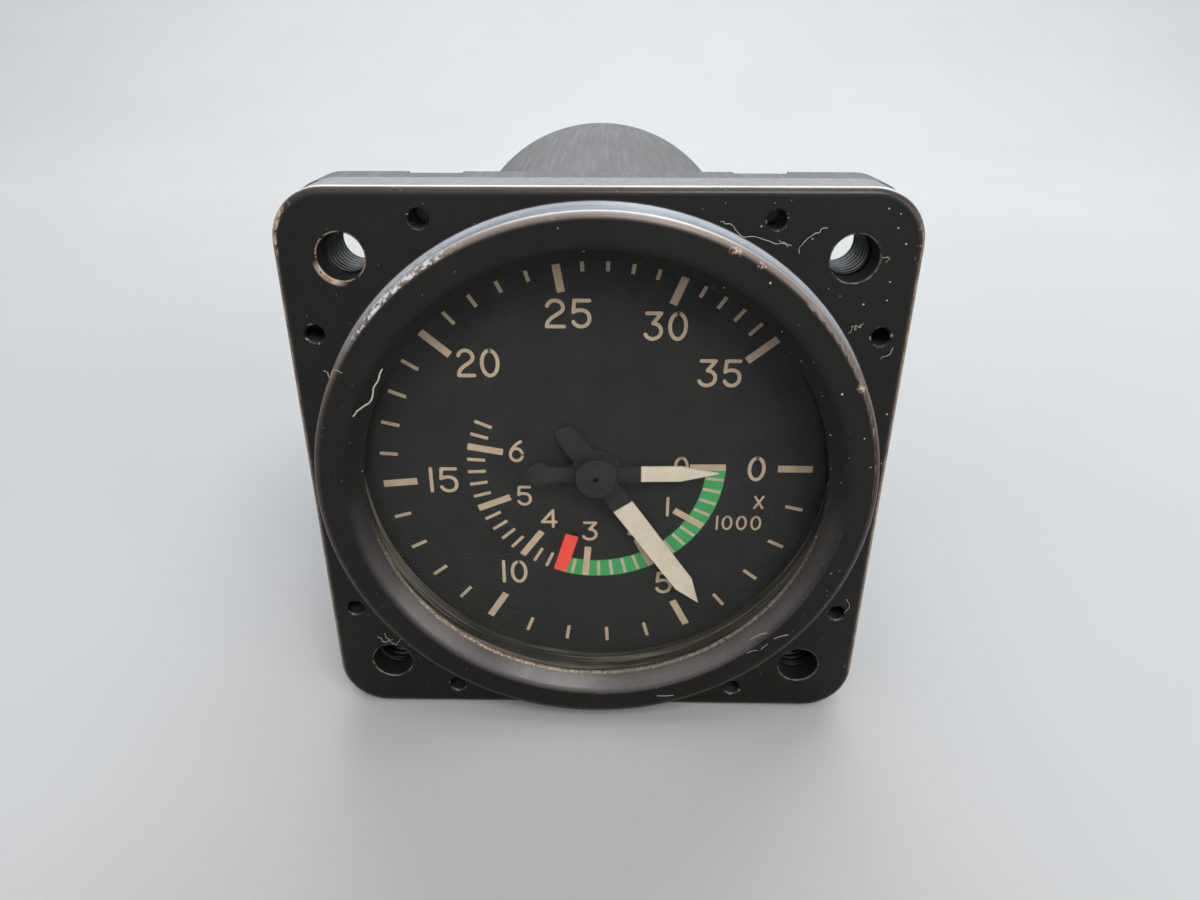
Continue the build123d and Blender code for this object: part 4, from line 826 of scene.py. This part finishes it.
# Name, thickness and waviness, then the points it runs through
FIBRES = (
    ("lint_ring_left", 0.085, 0.1, (
        (-23.6, RING_TOP, 9.0), (-22.7, RING_TOP, 9.9), (-21.7, RING_TOP - 0.1, 10.6),
        (-21.0, RING_TOP - 0.1, 12.4), (-20.2, RING_TOP, 13.9))),
    ("lint_flange_top", 0.035, 0.2, (
        (11.2, FLANGE_TOP, 27.1), (12.2, FLANGE_TOP - 0.1, 26.9), (13.0, FLANGE_TOP - 0.1, 26.0),
        (15.2, FLANGE_TOP - 0.2, 25.6), (17.8, FLANGE_TOP, 25.0))),
    ("lint_flange_right", 0.035, 0.2, (
        (18.6, FLANGE_TOP, 24.3), (18.8, FLANGE_TOP - 0.2, 25.3), (19.8, FLANGE_TOP - 0.2, 26.2),
        (20.9, FLANGE_TOP, 26.6))),
    ("lint_corner", 0.03, 0.2, (
        (-25.2, FLANGE_TOP, -20.4), (-24.4, FLANGE_TOP - 0.2, -20.9), (-23.5, FLANGE_TOP, -20.7))),
    ("lint_side", 0.03, 0.15, (
        (27.6, FLANGE_TOP, 14.1), (28.2, FLANGE_TOP - 0.2, 14.6), (28.6, FLANGE_TOP, 15.3))),
    ("lint_ring_low", 0.03, 0.05, (
        (17.2, RING_TOP, -17.6), (18.2, RING_TOP, -16.9), (19.0, RING_TOP, -16.7))),
    ("lint_ring_foot", 0.03, 0.03, (
        (7.2, RING_TOP, -25.9), (8.2, RING_TOP, -25.9), (9.1, RING_TOP, -25.8))),
    ("lint_ring_upper", 0.03, 0.15, (
        (20.4, -2.2, 16.6), (20.9, -2.4, 16.3), (21.0, -2.6, 17.0))),
    ("lint_knot_left", 0.028, 0.2, (
        (-24.3, FLANGE_TOP, -19.8), (-23.8, FLANGE_TOP - 0.2, -20.9), (-23.1, FLANGE_TOP - 0.3, -21.3),
        (-22.4, FLANGE_TOP - 0.3, -20.3), (-21.7, FLANGE_TOP - 0.2, -21.4), (-20.7, FLANGE_TOP, -21.0))),
    ("lint_knot_right", 0.025, 0.25, (
        (24.1, FLANGE_TOP, 16.7), (24.2, FLANGE_TOP - 0.2, 17.4), (24.6, FLANGE_TOP - 0.1, 17.0),
        (24.6, FLANGE_TOP - 0.3, 17.6), (25.0, FLANGE_TOP - 0.2, 17.3), (25.4, FLANGE_TOP, 17.7))),
    ("lint_low_a", 0.025, 0.05, (
        (17.0, RING_TOP, -19.5), (17.6, RING_TOP, -19.2), (18.1, RING_TOP, -19.1))),
    ("lint_low_b", 0.025, 0.05, (
        (18.5, RING_TOP, -19.0), (18.9, RING_TOP, -18.5), (19.2, RING_TOP, -18.2))),
    ("lint_low_c", 0.035, 0.05, (
        (19.8, RING_TOP, -17.5), (20.6, RING_TOP, -17.1), (21.3, RING_TOP, -16.9))),
    ("lint_right_curl", 0.028, 0.1, (
        (28.1, FLANGE_TOP, -16.2), (28.5, FLANGE_TOP - 0.2, -15.5), (28.5, FLANGE_TOP - 0.2, -14.8),
        (28.1, FLANGE_TOP, -14.3))),
    ("lint_hole_curl", 0.028, 0.08, (
        (26.2, FLANGE_TOP, 23.9), (26.6, FLANGE_TOP - 0.2, 24.1), (26.9, FLANGE_TOP - 0.1, 23.8),
        (26.6, FLANGE_TOP, 23.5))),
    ("lint_upper_a", 0.03, 0.1, (
        (16.6, FLANGE_TOP, 25.5), (17.2, FLANGE_TOP - 0.1, 25.3), (17.5, FLANGE_TOP, 24.9))),
    ("lint_left_knot", 0.03, 0.15, (
        (-25.9, -2.9, 13.6), (-25.2, -3.2, 13.0), (-24.8, -3.3, 13.9), (-24.1, RING_TOP, 13.5))),
)
for name, radius, wobble, path in FIBRES:
    fibre(name, wandering(path, wobble), radius, lint)


# Floor, light and camera

def studio_floor():
    """A pale sheet that rises smoothly behind the object."""
    near_edge, flat_end, rise, height, half = -0.6, 0.32, 0.35, 0.9, 1.2
    # The part rests on its flange's foot and its case's rear edge, so in its own frame the floor slopes
    flange_foot, flange_depth = 30.15, 11.0
    case_foot, case_depth = 27.2, 100.0
    slope = (flange_foot - case_foot) / (case_depth - flange_depth)
    touch = (-flange_foot - flange_depth * slope) * MM
    profile = [(near_edge, near_edge * slope + touch), (flat_end, flat_end * slope + touch)]
    bends = 16
    for i in range(1, bends + 1):
        turn = math.pi / 2 * i / bends
        profile.append((flat_end + rise * math.sin(turn),
                        flat_end * slope + touch + rise * (1 - math.cos(turn))))
    profile.append((flat_end + rise, height))
    points = [(side * half, y, z) for y, z in profile for side in (-1, 1)]
    faces = [(2 * i, 2 * i + 1, 2 * i + 3, 2 * i + 2) for i in range(len(profile) - 1)]
    mesh = bpy.data.meshes.new("studio_floor")
    mesh.from_pydata(points, [], faces)
    for face in mesh.polygons:
        face.use_smooth = True
    made = bpy.data.objects.new("studio_floor", mesh)
    bpy.context.scene.collection.objects.link(made)
    finish, tree, shader = material("floor_paper")
    tone = noise(tree, 60, 3, 0.5)
    feed(tree, shader.inputs["Base Color"], mixed(tree, tone, colour(184, 184, 183), colour(190, 190, 189)))
    shader.inputs["Roughness"].default_value = 0.9
    shader.inputs["Specular IOR Level"].default_value = 0.1
    mesh.materials.append(finish)


def lamp(name, spot, aim, size, power, tint=(1, 1, 1)):
    """A soft rectangular lamp at spot that shines at aim."""
    light = bpy.data.lights.new(name, "AREA")
    light.color = tint
    light.shape = "RECTANGLE"
    light.size, light.size_y = size
    light.energy = power
    made = bpy.data.objects.new(name, light)
    made.location = spot
    made.rotation_euler = (Vector(aim) - Vector(spot)).to_track_quat("-Z", "Y").to_euler()
    made.visible_camera = False
    bpy.context.scene.collection.objects.link(made)


studio_floor()
lamp("overhead", (0.0, -0.12, 0.9), (0, 0, 0), (0.5, 0.3), 1.0)
lamp("front", (-0.3, -0.9, 0.7), (0, 0, 0), (0.9, 0.6), 1.4)
lamp("front_high", (0.2, -0.56, 0.62), (0, 0, 0), (0.4, 0.35), 3.3)
lamp("side", (0.62, -0.46, 0.24), (0, 0, 0), (0.35, 0.4), 1.4)
lamp("rear_high", (0.08, 0.46, 0.52), (0, 0, 0), (0.9, 0.22), 4.4, (0.86, 0.93, 1.0))
lamp("rear", (0.0, 0.6, 0.2), (0, 0, 0), (1.2, 0.22), 1.1)


def studio_world():
    """Even light of a plain level, which the camera, gloss and glass see as pale."""
    world = bpy.data.worlds.new("studio")
    bpy.context.scene.world = world
    world.use_nodes = True
    tree = world.node_tree
    rays = add(tree, "ShaderNodeLightPath").outputs
    seen = either(tree, rays["Is Camera Ray"], rays["Is Glossy Ray"], rays["Is Transmission Ray"])
    back = tree.nodes["Background"]
    back.inputs["Color"].default_value = (0.95, 0.97, 1.0, 1.0)
    feed(tree, back.inputs["Strength"], level(tree, seen, 0.0, 1.0, 0.36, 1.0))


studio_world()

# Fitted to the photo: place and aim in millimetres, focal length in pixels of the photo's width
CAMERA_PLACE = (0.61, -77.21, 41.95)
CAMERA_AIM = (-0.775, 0.0, 4.02)
PHOTO_FOCAL = 836.5
PHOTO_WIDTH = 1200.0
SENSOR_WIDTH = 36.0
camera = bpy.data.objects.new("camera", bpy.data.cameras.new("camera"))
bpy.context.scene.collection.objects.link(camera)
camera.location = Vector(CAMERA_PLACE) * MM
aim = Vector(CAMERA_AIM) * MM
camera.rotation_euler = (aim - camera.location).to_track_quat("-Z", "Y").to_euler()
camera.data.sensor_fit = "HORIZONTAL"
camera.data.sensor_width = SENSOR_WIDTH
camera.data.lens = PHOTO_FOCAL * SENSOR_WIDTH / PHOTO_WIDTH
camera.data.shift_x = 0.009875
camera.data.clip_start = 0.005
camera.data.clip_end = 10.0
bpy.context.scene.camera = camera
bpy.context.scene.view_settings.view_transform = "Standard"
